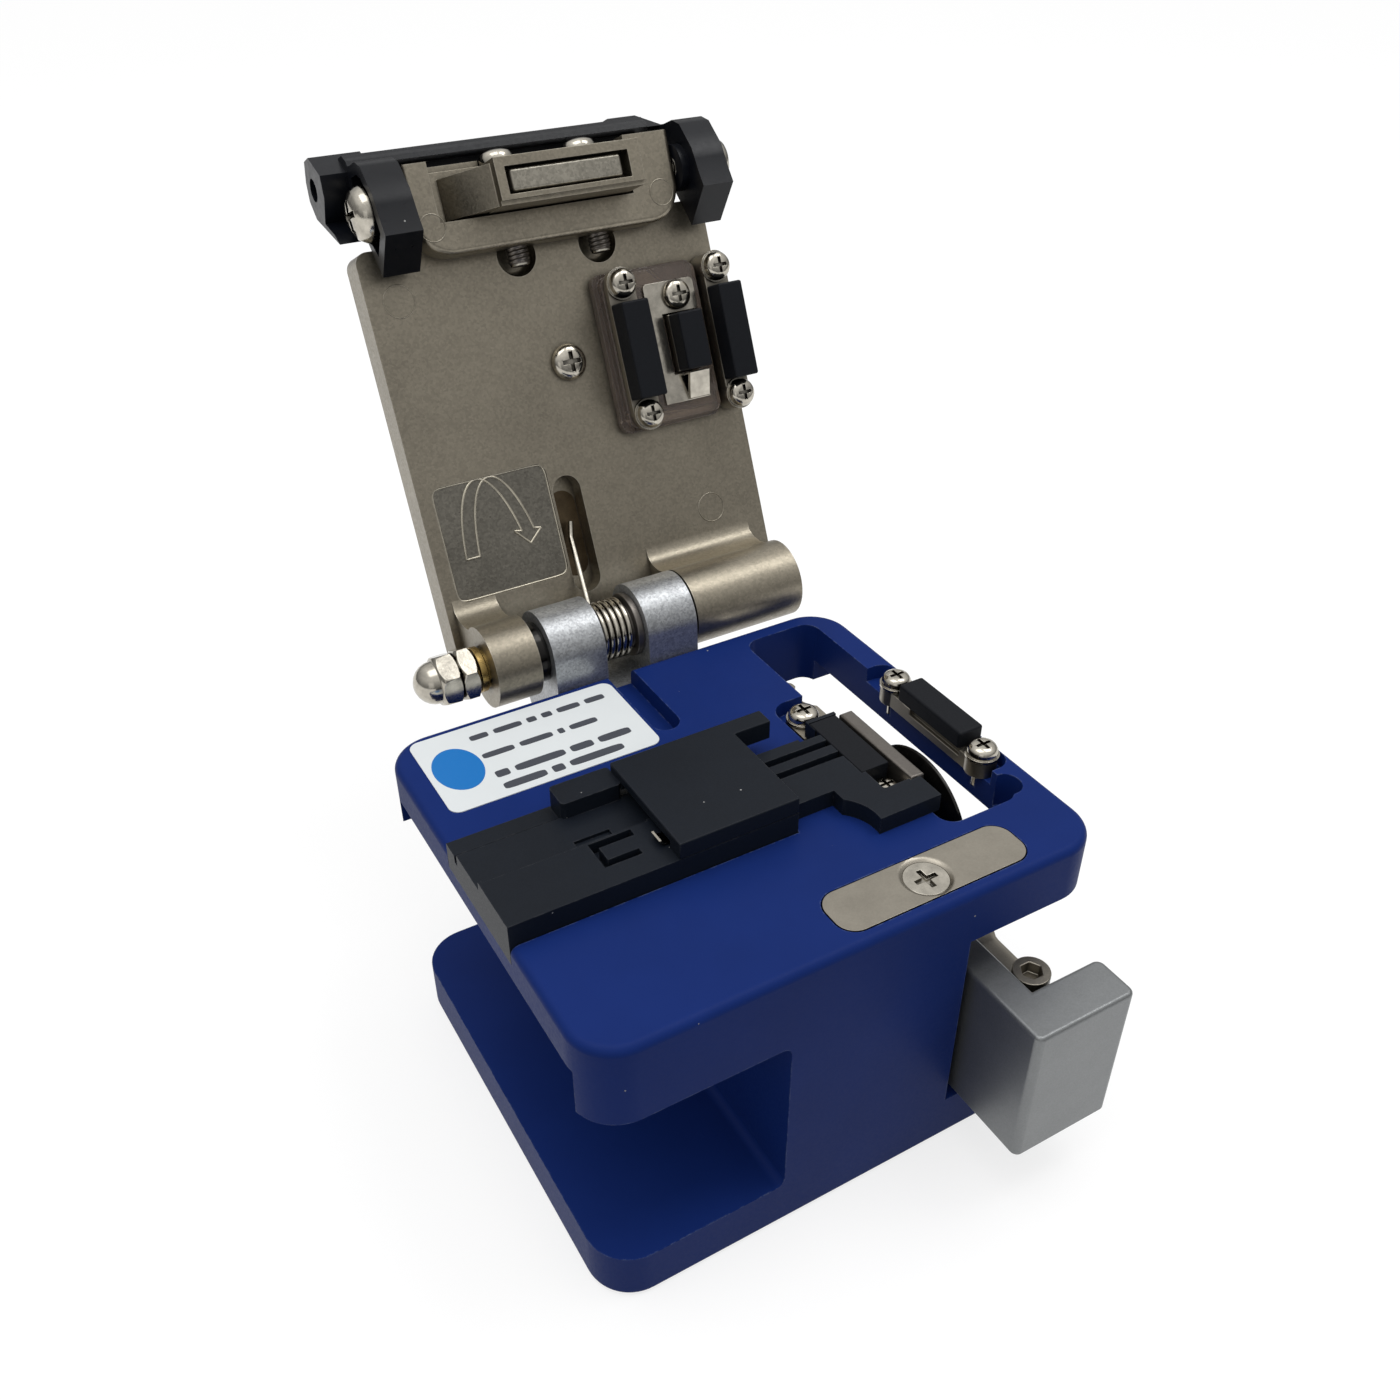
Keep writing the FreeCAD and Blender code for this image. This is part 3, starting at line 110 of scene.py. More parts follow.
def grid_faces(rows, columns, wrap_rows):
    """Quads (i, j), (i+1, j), (i+1, j+1), (i, j+1), with the indices taken round where it wraps."""
    i = np.arange(rows if wrap_rows else rows - 1)[:, None]
    j = np.arange(columns)[None, :]
    ahead, beside = (i + 1) % rows, (j + 1) % columns
    corners = [i * columns + j, ahead * columns + j, ahead * columns + beside, i * columns + beside]
    return np.stack([np.broadcast_to(c, (i.size, j.size)) for c in corners], -1).reshape(-1, 4)


def piece_from_grids(name, grids, body, material, wrap_rows=False):
    """One piece of a body from (rows, columns, 3) grids in metres; columns go round, ends are capped."""
    points, faces = [], []
    for grid in grids:
        rows, columns = grid.shape[:2]
        first = len(points)
        points += grid.reshape(-1, 3).tolist()
        faces += (grid_faces(rows, columns, wrap_rows) + first).tolist()
        if not wrap_rows:
            faces.append([first + k for k in range(columns)])
            faces.append([first + (rows - 1) * columns + k for k in range(columns)])
    mesh = bpy.data.meshes.new(name)
    mesh.from_pydata(points, [], faces)
    work = bmesh.new()
    work.from_mesh(mesh)
    bmesh.ops.remove_doubles(work, verts=work.verts, dist=1e-7)
    bmesh.ops.recalc_face_normals(work, faces=work.faces)
    work.to_mesh(mesh)
    work.free()
    mesh.shade_smooth()
    mesh.set_sharp_from_angle(angle=math.radians(40))
    mesh.materials.append(material)
    piece = bpy.data.objects.new(name, mesh)
    bpy.context.scene.collection.objects.link(piece)
    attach(piece, body)
    return piece


# %% [markdown]
# ## Shared effects
# Cast, coated and ground metal differ mostly in grain, so grain is one node group with its scale
# as an input: a fine height, sand grains of random tone, and wide patches. Edge wear, dust and
# painted shade in recesses are three more groups. Each puts out plain masks, and every material
# decides what a mask does to it.

# %% Node helpers


def new_group(name, inputs, outputs):
    """An empty shader group with float sockets; returns it with its input and output nodes."""
    group = bpy.data.node_groups.new(name, "ShaderNodeTree")
    for label, value in inputs:
        socket = group.interface.new_socket(label, in_out="INPUT", socket_type="NodeSocketFloat")
        socket.default_value = value
    for label in outputs:
        group.interface.new_socket(label, in_out="OUTPUT", socket_type="NodeSocketFloat")
    start = group.nodes.new("NodeGroupInput")
    end = group.nodes.new("NodeGroupOutput")
    return group, start, end


def feed(tree, socket, value):
    """Links a socket to another socket, or sets it to a number or a colour."""
    if isinstance(value, bpy.types.NodeSocket):
        tree.links.new(value, socket)
    else:
        socket.default_value = value


def math_node(tree, operation, a, b, clamp=False):
    """A Math node fed with sockets or numbers; returns its output socket."""
    node = tree.nodes.new("ShaderNodeMath")
    node.operation = operation
    node.use_clamp = clamp
    feed(tree, node.inputs[0], a)
    feed(tree, node.inputs[1], b)
    return node.outputs[0]


def stretch(tree, value, low, high, to_low=0.0, to_high=1.0):
    """Value rescaled so that low becomes to_low and high becomes to_high, held between them."""
    node = tree.nodes.new("ShaderNodeMapRange")
    feed(tree, node.inputs["Value"], value)
    node.inputs["From Min"].default_value = low
    node.inputs["From Max"].default_value = high
    node.inputs["To Min"].default_value = to_low
    node.inputs["To Max"].default_value = to_high
    return node.outputs["Result"]


def noise(tree, scale, detail, rough=0.5):
    """Noise on Object coordinates; scale is in cells per metre."""
    place = tree.nodes.new("ShaderNodeTexCoord")
    texture = tree.nodes.new("ShaderNodeTexNoise")
    tree.links.new(place.outputs["Object"], texture.inputs["Vector"])
    feed(tree, texture.inputs["Scale"], scale)
    texture.inputs["Detail"].default_value = detail
    texture.inputs["Roughness"].default_value = rough
    return texture.outputs["Fac"]


def cells(tree, scale):
    """Random cells on Object coordinates: distance from the cell's centre, and a random value."""
    place = tree.nodes.new("ShaderNodeTexCoord")
    texture = tree.nodes.new("ShaderNodeTexVoronoi")
    tree.links.new(place.outputs["Object"], texture.inputs["Vector"])
    feed(tree, texture.inputs["Scale"], scale)
    split = tree.nodes.new("ShaderNodeSeparateColor")
    tree.links.new(texture.outputs["Color"], split.inputs["Color"])
    return texture.outputs["Distance"], split.outputs["Red"]


# %% Grain, wear, dust and painted recess shade groups


def make_grain():
    """Grain: fine noise for the height, cells of random tone for the sand, slow noise for patches."""
    group, start, end = new_group("grain", [("Scale", 2000.0), ("Patch Scale", 60.0)],
                                  ["Height", "Sand", "Patch"])
    fine = noise(group, start.outputs["Scale"], 3.0, 0.6)
    sand = cells(group, start.outputs["Scale"])[1]
    wide = noise(group, start.outputs["Patch Scale"], 4.0, 0.6)
    group.links.new(fine, end.inputs["Height"])
    group.links.new(sand, end.inputs["Sand"])
    group.links.new(stretch(group, wide, 0.3, 0.7), end.inputs["Patch"])
    return group


def make_wear():
    """Wear: one less the dot product of the true normal and a rounded one, broken up by noise."""
    group, start, end = new_group("edge wear", [("Reach", 0.5), ("Breakup", 0.5)], ["Mask"])
    rounded = group.nodes.new("ShaderNodeBevel")
    rounded.samples = 4
    rounded.inputs["Radius"].default_value = 0.3 * MM
    true = group.nodes.new("ShaderNodeNewGeometry")
    turn = group.nodes.new("ShaderNodeVectorMath")
    turn.operation = "DOT_PRODUCT"
    group.links.new(rounded.outputs["Normal"], turn.inputs[0])
    group.links.new(true.outputs["Normal"], turn.inputs[1])
    edge = stretch(group, math_node(group, "SUBTRACT", 1.0, turn.outputs["Value"]), 0.03, 0.2)
    patchy = stretch(group, noise(group, 700.0, 4.0, 0.7), 0.44, 0.6)
    whole = math_node(group, "SUBTRACT", 1.0, start.outputs["Breakup"])
    mask = math_node(group, "MULTIPLY", edge, math_node(group, "MAXIMUM", patchy, whole, clamp=True))
    group.links.new(math_node(group, "MULTIPLY", mask, start.outputs["Reach"], clamp=True),
                    end.inputs["Mask"])
    return group


def make_dust():
    """Dust: a dot round the centre of each cell whose random value is under the amount."""
    group, start, end = new_group("dust", [("Scale", 700.0), ("Size", 0.12), ("Amount", 0.5)],
                                  ["Mask"])
    distance, chance = cells(group, start.outputs["Scale"])
    dot = math_node(group, "LESS_THAN", distance, start.outputs["Size"])
    chosen = math_node(group, "LESS_THAN", chance, start.outputs["Amount"])
    group.links.new(math_node(group, "MULTIPLY", dot, chosen), end.inputs["Mask"])
    return group


def make_painted_recess_shade():
    """Painted recess shade: how much of the sky near a point is shut off by walls within a millimetre.
    """
    group, start, end = new_group("painted_recess_shade", [("Amount", 1.0)], ["Mask"])
    shut = group.nodes.new("ShaderNodeAmbientOcclusion")
    shut.samples = 8
    shut.inputs["Distance"].default_value = 1.4 * MM
    deep = stretch(group, shut.outputs["AO"], 0.25, 0.85, 1.0, 0.0)
    group.links.new(math_node(group, "MULTIPLY", deep, start.outputs["Amount"]),
                    end.inputs["Mask"])
    return group


GRAIN, WEAR, DUST, PAINTED_RECESS_SHADE = make_grain(), make_wear(), make_dust(), make_painted_recess_shade()
print("groups:", [g.name for g in (GRAIN, WEAR, DUST, PAINTED_RECESS_SHADE)])

# %% [markdown]
# ## One way to build a finish
# Every finish here is a base colour, sand and patches of tone, a grain in the height and the
# gloss, some wear, painted shade in recesses and dust. One function wires them, and each finish is
# a call with its own values. What is the same all over, such as metallic or specular level, is set on
# the shader.

# %% Finish builder


def use_group(tree, group, **values):
    """Places a group in a material and sets its inputs by name."""
    node = tree.nodes.new("ShaderNodeGroup")
    node.node_tree = group
    for label, value in values.items():
        node.inputs[label.replace("_", " ")].default_value = value
    return node


def mix_colour(tree, mask, below, above):
    """Colour above laid over colour below where the mask is, as an output socket."""
    node = tree.nodes.new("ShaderNodeMix")
    node.data_type = "RGBA"
    tree.links.new(mask, node.inputs["Factor"])
    for label, value in (("A_Color", below), ("B_Color", above)):
        socket = next(s for s in node.inputs if s.identifier == label)
        feed(tree, socket, value if isinstance(value, bpy.types.NodeSocket) else (*value, 1.0))
    return next(s for s in node.outputs if s.identifier == "Result_Color")


# Painted shade: in recesses the colour falls to this share of itself.
PAINTED_RECESS_SHADE_TONE = 0.14      # how much of a metal's colour is left in its recesses


def finish(name, colour, roughness, metallic=0.0, grain=2000.0, bump=0.01, patch=60.0, tone=0.1,
           sand=0.0, spread=0.08, worn=None, wear=0.0, breakup=0.5, dust=0.0,
           dust_colour=(0.30, 0.30, 0.29), specular=0.5, painted_recess_shade=0.0):
    """A Principled material: tone from patches and sand, grain in gloss and height, and masks."""
    material = bpy.data.materials.new(name)
    material.use_nodes = True
    tree = material.node_tree
    shader = tree.nodes["Principled BSDF"]
    surface = use_group(tree, GRAIN, Scale=grain, Patch_Scale=patch)
    blend = math_node(tree, "ADD",
                      math_node(tree, "MULTIPLY", surface.outputs["Sand"], sand),
                      math_node(tree, "MULTIPLY", surface.outputs["Patch"], 1.0 - sand))
    darker = tuple(c * (1 - tone) for c in colour)
    lighter = tuple(min(1.0, c * (1 + tone)) for c in colour)
    paint = mix_colour(tree, blend, darker, lighter)
    if worn:
        rub = use_group(tree, WEAR, Reach=wear, Breakup=breakup)
        paint = mix_colour(tree, rub.outputs["Mask"], paint, worn)
    # Painted shade: the colour darkens where nearby walls shut off the sky.
    if painted_recess_shade:
        recess_shade_node = use_group(tree, PAINTED_RECESS_SHADE, Amount=painted_recess_shade)
        paint = mix_colour(tree, recess_shade_node.outputs["Mask"], paint, tuple(PAINTED_RECESS_SHADE_TONE * c for c in colour))
    if dust:
        specks = use_group(tree, DUST, Scale=900.0, Size=0.1, Amount=dust)
        paint = mix_colour(tree, specks.outputs["Mask"], paint, dust_colour)
    tree.links.new(paint, shader.inputs["Base Color"])
    gloss = stretch(tree, surface.outputs["Height"], 0.2, 0.8,
                    max(0.03, roughness - spread), min(1.0, roughness + spread))
    tree.links.new(gloss, shader.inputs["Roughness"])
    relief = tree.nodes.new("ShaderNodeBump")
    relief.inputs["Distance"].default_value = bump * MM
    tree.links.new(surface.outputs["Height"], relief.inputs["Height"])
    tree.links.new(relief.outputs["Normal"], shader.inputs["Normal"])
    shader.inputs["Metallic"].default_value = metallic
    shader.inputs["Specular IOR Level"].default_value = specular
    return material


# %% [markdown]
# ## Finishes of the body
# The body is a die casting with a blue powder coat: not glossy, with a very fine orange peel and
# a little paint rubbed off its high edges. The bracket has a silver coat with fine flakes. The
# label is a white film with plain blue and grey print.

# %% Body finishes
BLUE = finish("blue powder coat", (0.0065, 0.0215, 0.128), 0.46, grain=3000, bump=0.006,
              tone=0.08, worn=(0.16, 0.20, 0.30), wear=0.5, breakup=1.0, dust=0.012,
              specular=0.06)
SILVER = finish("silver flake coat", (0.375, 0.385, 0.395), 0.38, metallic=0.8, grain=4200,
                bump=0.018, tone=0.26, sand=0.9, spread=0.14)
FILM = finish("label film", (0.66, 0.69, 0.70), 0.45, grain=900, bump=0.002, tone=0.02,
              dust=0.004, specular=0.3)
PRINT_BLUE = finish("label blue", (0.004, 0.15, 0.46), 0.45, grain=900, bump=0.002, tone=0.02,
                    specular=0.3)
PRINT_GREY = finish("label grey", (0.055, 0.06, 0.075), 0.45, grain=900, bump=0.002, tone=0.05,
                    specular=0.3)
print("body finishes:", [m.name for m in (BLUE, SILVER, FILM, PRINT_BLUE, PRINT_GREY)])

# %% [markdown]
# ## Metals
# The lid is cast and plated with satin nickel over a sandy skin: warm grey, with grains of about
# a quarter of a millimetre. The pressed panel is darker and the raised lines in it are rubbed bright.
# The slot's floor is a dark brown painted shade, and screws are bright with painted shade in their
# recesses. The slide is satin aluminium with a finer grain, and the blade is dark hard metal.

# %% Metal finishes
# Painted shade darkens the recesses of the cast nickel, the plated steel and the bright nickel.
NICKEL = finish("cast nickel", (0.27, 0.242, 0.190), 0.37, metallic=0.94, grain=3400, bump=0.017,
                patch=75, tone=0.22, sand=0.5, spread=0.12, worn=(0.50, 0.47, 0.40), wear=0.6,
                breakup=0.6, painted_recess_shade=0.85)
PRESSED = finish("pressed nickel", (0.19, 0.178, 0.15), 0.36, metallic=0.94, grain=3400,
                 bump=0.028, patch=120, tone=0.30, sand=0.6, spread=0.14)
# Painted shade: a dark brown nickel for the floor of the spring's slot, in place of the slot's shade.
PAINTED_SLOT_SHADE = finish("slot shade nickel", (0.085, 0.062, 0.036), 0.38, metallic=0.9, grain=2600, bump=0.02,
              patch=240, tone=0.45)
RAISED = finish("raised nickel", (0.52, 0.48, 0.39), 0.30, metallic=0.95, grain=3400, bump=0.008,
                patch=300, tone=0.2)
PLATE = finish("plated steel", (0.30, 0.275, 0.23), 0.34, metallic=0.95, grain=6000, bump=0.004,
               patch=260, tone=0.12, sand=0.3, painted_recess_shade=0.8)
BRIGHT = finish("bright nickel", (0.46, 0.43, 0.37), 0.17, metallic=1.0, grain=2600, bump=0.004,
                patch=700, tone=0.22, spread=0.06, painted_recess_shade=1.0)
SATIN = finish("satin aluminium", (0.205, 0.212, 0.215), 0.40, metallic=0.85, grain=6000,
               bump=0.008, patch=160, tone=0.10, sand=0.5, worn=(0.62, 0.64, 0.64), wear=0.7,
               breakup=0.35)
GROUND = finish("ground steel", (0.17, 0.155, 0.14), 0.36, metallic=0.9, grain=5200, bump=0.004,
                patch=260, tone=0.14, sand=0.4)
MAGNET = finish("magnet plating", (0.30, 0.28, 0.235), 0.34, metallic=0.9, grain=3600,
                bump=0.014, patch=420, tone=0.30, sand=0.6, worn=(0.5, 0.47, 0.4), wear=0.6)
DARK_STEEL = finish("dark hard metal", (0.020, 0.019, 0.018), 0.16, metallic=0.85, grain=3000,
                    bump=0.002, patch=300, tone=0.2)
BRASS = finish("turned brass", (0.36, 0.25, 0.09), 0.28, metallic=1.0, grain=3000, bump=0.005)
print("lid metals:", [m.name for m in (NICKEL, PRESSED, PAINTED_SLOT_SHADE, RAISED, MAGNET)])

# %% [markdown]
# ## Black parts
# Three blacks lie side by side: anodised aluminium on the guide, moulded plastic on the lever and
# rubber on the pads. They are told apart by gloss and by the dust that shows on them. The clamp
# plate is smoky clear plastic, so its shader is a plain transmitting one.

# %% Black and clear finishes
ANODISED = finish("black anodised", (0.0060, 0.0085, 0.0135), 0.46, grain=5200, bump=0.004,
                  patch=90, tone=0.18, sand=0.4, worn=(0.075, 0.075, 0.08), wear=0.35,
                  breakup=0.9, dust=0.03, specular=0.16)
PLASTIC = finish("black plastic", (0.0030, 0.0038, 0.0062), 0.33, grain=1500, bump=0.003,
                 patch=80, tone=0.2, dust=0.006, specular=0.22)
RUBBER = finish("black rubber", (0.0062, 0.0072, 0.0098), 0.52, grain=3600, bump=0.006, tone=0.15,
                sand=0.4, dust=0.02, specular=0.14)


def smoky():
    """Smoky clear plastic: transmission and colour set on the shader, a slow change of gloss."""
    material = bpy.data.materials.new("smoky clear")
    material.use_nodes = True
    tree = material.node_tree
    shader = tree.nodes["Principled BSDF"]
    shader.inputs["Base Color"].default_value = (0.42, 0.34, 0.29, 1.0)
    shader.inputs["Transmission Weight"].default_value = 0.8
    shader.inputs["IOR"].default_value = 1.45
    surface = use_group(tree, GRAIN, Scale=1500.0, Patch_Scale=120.0)
    gloss = stretch(tree, surface.outputs["Patch"], 0.0, 1.0, 0.07, 0.16)
    tree.links.new(gloss, shader.inputs["Roughness"])
    return material


SMOKY = smoky()
print("dark finishes:", [m.name for m in (ANODISED, PLASTIC, RUBBER, SMOKY)])

# %% [markdown]
# ## Pieces that change before they are dressed
# Three construction pieces differ a little from what is seen. The front end of the rail's groove
# is closed by a wall of the casting, which a union with a plain block gives. The screw of the
# blade's arm sits lower. The spring loses its long leg, which is drawn anew further on, because
# that leg has to turn with the lid.

# %% Changes to single pieces
WALL = ((7.6, -27.25, 7.6), (13.4, -25.7, 27.8))    # mm: low and high corner of the wall
BLOCK = {"body_casting": WALL}
SHIFT = {"arm_screw": (0.0, 0.0, -1.6)}             # mm
LEG_START = 2.6                                     # mm along the lid from the hinge
COIL_OUTSIDE = 4.3                                  # mm from the hinge's axis


def beyond_coil(point):
    """True for points of the spring's leg: on the lid's side and outside the coil's radius."""
    away = (point - np.array([0.0, HINGE[1], HINGE[2]])) / MM
    return away @ ALONG > LEG_START and np.hypot(away @ ALONG, away @ OUTWARD) > COIL_OUTSIDE


TRIM = {"torsion_spring": beyond_coil}


def with_block(mesh, low, high):
    """The mesh joined with a solid box from low to high (mm), as a new mesh."""
    work = bmesh.new()
    bmesh.ops.create_cube(work, size=1.0)
    middle, size = (low + high) / 2 * MM, (high - low) * MM
    for vert in work.verts:
        vert.co = Vector(middle + size * np.array(vert.co))
    block_mesh = bpy.data.meshes.new("block")
    work.to_mesh(block_mesh)
    work.free()
    pair = [bpy.data.objects.new("joined " + m.name, m) for m in (mesh, block_mesh)]
    for each in pair:
        bpy.context.scene.collection.objects.link(each)
    union = pair[0].modifiers.new("union", "BOOLEAN")
    union.operation = "UNION"
    union.solver = "EXACT"
    union.object = pair[1]
    ready = pair[0].evaluated_get(bpy.context.evaluated_depsgraph_get())
    result = bpy.data.meshes.new_from_object(ready)
    for each in pair:
        bpy.data.objects.remove(each)
    return result


print("changed pieces:", [*BLOCK, *SHIFT, *TRIM])

# %% [markdown]
# ## Broken edges
# A machined edge is never perfectly sharp, and the thin bright line that it catches is what makes
# metal look real. Each construction piece gets a merged copy with smooth curves and a small
# bevel on its sharp edges, and the copy stands for the piece. Weighted normals keep the large
# flat faces flat, so that only the bevel turns the light.

# %% One piece, merged and bevelled
CREASE = math.radians(38)
FLAT = math.radians(0.4)      # facets that turn less than this are one face
SAME_POINT = 2e-6             # metres


def dress(node, material, edge):
    """A merged copy of a node: doubles removed, flat facets joined, sharp edges bevelled."""
    mesh = nodes[node].data.copy()
    work = bmesh.new()
    work.from_mesh(mesh)
    bmesh.ops.remove_doubles(work, verts=work.verts, dist=SAME_POINT)
    if node in TRIM:
        lost = [v for v in work.verts if TRIM[node](np.array(v.co))]
        bmesh.ops.delete(work, geom=lost, context="VERTS")
    if node in SHIFT:
        bmesh.ops.translate(work, verts=work.verts, vec=Vector(SHIFT[node]) * MM)
    work.to_mesh(mesh)
    work.free()
    if node in BLOCK:
        mesh = with_block(mesh, *(np.array(c) for c in BLOCK[node]))
    work = bmesh.new()
    work.from_mesh(mesh)
    bmesh.ops.dissolve_limit(work, angle_limit=FLAT, verts=work.verts, edges=work.edges)
    work.to_mesh(mesh)
    work.free()
    mesh.materials.clear()
    mesh.materials.append(material)
    mesh.shade_smooth()
    mesh.set_sharp_from_angle(angle=CREASE)
    piece = bpy.data.objects.new("finished_" + node, mesh)
    bpy.context.scene.collection.objects.link(piece)
    if edge:
        bevel = piece.modifiers.new("broken edge", "BEVEL")
        bevel.width = edge * MM
        bevel.segments = 2
        bevel.limit_method = "ANGLE"
        bevel.angle_limit = CREASE
        bevel.miter_outer = "MITER_ARC"
        flat = piece.modifiers.new("flat faces", "WEIGHTED_NORMAL")
        flat.keep_sharp = True
        flat.weight = 90
    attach(piece, nodes[node]["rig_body"])
    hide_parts(node)


print("edges sharper than", round(math.degrees(CREASE)), "degrees are broken")

# %% [markdown]
# ## Which finish each piece wears
# The table reads like a plating list: one finish, and the pieces that have it. A second table holds
# the width of the broken edge where it differs from the usual tenth of a millimetre.

# %% Dress the construction pieces
FINISH_OF = {
    BLUE: ("body_casting",),
    SILVER: ("hinge_bracket",),
    FILM: ("deck_label",),
    NICKEL: ("lid_casting", "magnet_holder"),
    MAGNET: ("magnet",),
    PLATE: ("keeper_plate", "lower_left_carrier", "lower_right_carrier", "upper_left_carrier",
            "upper_right_carrier", "anvil_stem", "arm_screw"),
    BRIGHT: ("keeper_screw", "rail_screws", "guide_screws", "lower_left_pan_screw",
             "lower_left_flat_screw", "lower_right_screws", "bracket_screws", "hinge_shaft",
             "lock_nut", "acorn_nut", "torsion_spring", "long_screws", "lid_screw",
             "upper_clamp_screws", "anvil_screw", "pivot_screws",
             "carriage_screws", "anvil_leaf", "blade_axle", "guide_leaf"),
    SATIN: ("slide_block",),
    GROUND: ("slide_rail", "carriage", "fibre_rest_bar", "spring_sleeve"),
    DARK_STEEL: ("blade", "hinge_washer"),
    BRASS: ("hinge_bush",),
    ANODISED: ("fibre_guide", "guide_cover"),
    PLASTIC: ("lever",),
    RUBBER: ("lower_left_pad", "lower_right_pad", "upper_left_pad", "upper_right_pad",
             "anvil_pad"),
    SMOKY: ("clamp_base",),
}
USUAL_EDGE = 0.10     # mm
EDGE_OF = {"body_casting": 0.25, "lid_casting": 0.15, "lever": 0.18, "slide_block": 0.15,
           "torsion_spring": 0.0, "deck_label": 0.0, "hinge_shaft": 0.0, "guide_leaf": 0.0,
           "fibre_guide": 0.08, "guide_cover": 0.12, "upper_clamp_screws": 0.05,
           "lower_right_screws": 0.05, "lower_left_pan_screw": 0.05, "keeper_screw": 0.05,
           "lower_left_flat_screw": 0.05, "lid_screw": 0.06, "anvil_screw": 0.05,
           "anvil_leaf": 0.05, "keeper_plate": 0.08}
for material, names in FINISH_OF.items():
    for name in names:
        dress(name, material, EDGE_OF.get(name, USUAL_EDGE))
print("dressed", sum(len(names) for names in FINISH_OF.values()), "nodes")


# %% [markdown]
# ## Marks cast into the lid
# The die leaves thin raised lines on the lid, such as the round marks where ejector pins pushed the
# casting out. A raised line is a small tube half sunk in the face, carried along a path. A bump
# would fade at this angle, but real ridges catch the light. The same cell holds the other curves
# and outlines that the marks need.

# %% Raised lines and outlines


def ridge(path, radius, closed=False, sides=10):
    """Tube along a flat path (x, s, w): point + r cos(a) beside the tangent + r sin(a) outward."""
    if closed:
        tangent = np.roll(path, -1, axis=0) - np.roll(path, 1, axis=0)
    else:
        tangent = np.gradient(path, axis=0)
    beside = np.stack([-tangent[:, 1], tangent[:, 0], np.zeros(len(path))], -1)
    beside /= np.linalg.norm(beside, axis=1)[:, None]
    turn = np.linspace(0.0, 2 * np.pi, sides, endpoint=False)
    ring = (path[:, None] + radius * np.cos(turn)[None, :, None] * beside[:, None]
            + radius * np.sin(turn)[None, :, None] * np.array([0.0, 0.0, 1.0]))
    return on_lid(ring[..., 0], ring[..., 1], ring[..., 2])


def superellipse(half_a, half_b, exponent, count):
    """Closed outline a sign(cos) |cos|^e, b sign(sin) |sin|^e; a small e gives a rounded box."""
    turn = np.linspace(0.0, 2 * np.pi, count, endpoint=False)
    c, s = np.cos(turn), np.sin(turn)
    return np.stack([half_a * np.sign(c) * np.abs(c) ** exponent,
                     half_b * np.sign(s) * np.abs(s) ** exponent], -1)


def plate(middle, edge, under, top):
    """Thin plate: the outline at the level under, then at top, then shrunk to the middle."""
    rows = [np.column_stack([middle + k * edge, np.full(len(edge), level)])
            for k, level in ((1.0, under), (1.0, top), (0.5, top), (0.02, top))]
    return np.array(rows)


def curve_through(points, steps, w):
    """Cubic Bezier of four (x, s) points: (1-t)^3 a + 3(1-t)^2 t b + 3(1-t) t^2 c + t^3 d."""
    t = np.linspace(0.0, 1.0, steps)[:, None]
    a, b, c, d = np.array(points, float)
    flat = (1 - t) ** 3 * a + 3 * (1 - t) ** 2 * t * b + 3 * (1 - t) * t ** 2 * c + t ** 3 * d
    return np.column_stack([flat, np.full(steps, w)])


def straight(start, end, w):
    """Path of five points on the line between two (x, s) points."""
    t = np.linspace(0.0, 1.0, 5)[:, None]
    flat = (1 - t) * np.array(start) + t * np.array(end)
    return np.column_stack([flat, np.full(5, w)])


def ring_path(x, s, radius, w):
    """Circle round (x, s): x + r cos(a), s + r sin(a)."""
    turn = np.linspace(0.0, 2 * np.pi, 48, endpoint=False)
    return np.column_stack([x + radius * np.cos(turn), s + radius * np.sin(turn),
                            np.full(48, w)])


MARK_R, RIM_MARK_R = 1.95, 1.6
LINE_R = 0.075
ejector_marks = [ridge(ring_path(x, s, MARK_R, w), LINE_R, closed=True)
                 for x, s, w in ((-12.9, 44.8, LID_FACE), (23.0, 11.0, LID_FACE))]
piece_from_grids("ejector_marks", ejector_marks, "lid", NICKEL, wrap_rows=True)
rim_marks = [ridge(ring_path(x, 52.0, RIM_MARK_R, RIM_FACE), LINE_R, closed=True)
             for x in (-7.9, 23.1)]
piece_from_grids("rim_ejector_marks", rim_marks, "lid", NICKEL, wrap_rows=True)
print("ejector marks stand", LINE_R, "mm proud")

# %% [markdown]
# ## The pressed panel and its arrow
# Next to the spring's slot a shallow panel is pressed into the lid. Its floor is darker than the
# lid, a raised border runs round it, and an arrow shows which way the lid shuts. The floor is a
# thin skin on the casting, so that it can have a finish of its own.

# %% Panel, border and arrow
PANEL_MIDDLE = np.array([-7.3, 14.8])     # x and s
PANEL_HALF = (7.7, 7.3)
PANEL_CORNER = 0.13                       # exponent of the rounded box
SKIN_T = 0.02
BORDER_R, ARROW_R = 0.13, 0.16
panel_edge = superellipse(*PANEL_HALF, PANEL_CORNER, 96)
skin = plate(PANEL_MIDDLE, panel_edge, PANEL_FLOOR + SKIN_T, PANEL_FLOOR - SKIN_T)
piece_from_grids("panel_skin", [on_lid(*np.moveaxis(skin, -1, 0))], "lid", PRESSED)
border = np.column_stack([PANEL_MIDDLE + panel_edge, np.full(96, PANEL_FLOOR)])
piece_from_grids("panel_border", [ridge(border, BORDER_R, closed=True)], "lid", RAISED,
                 wrap_rows=True)

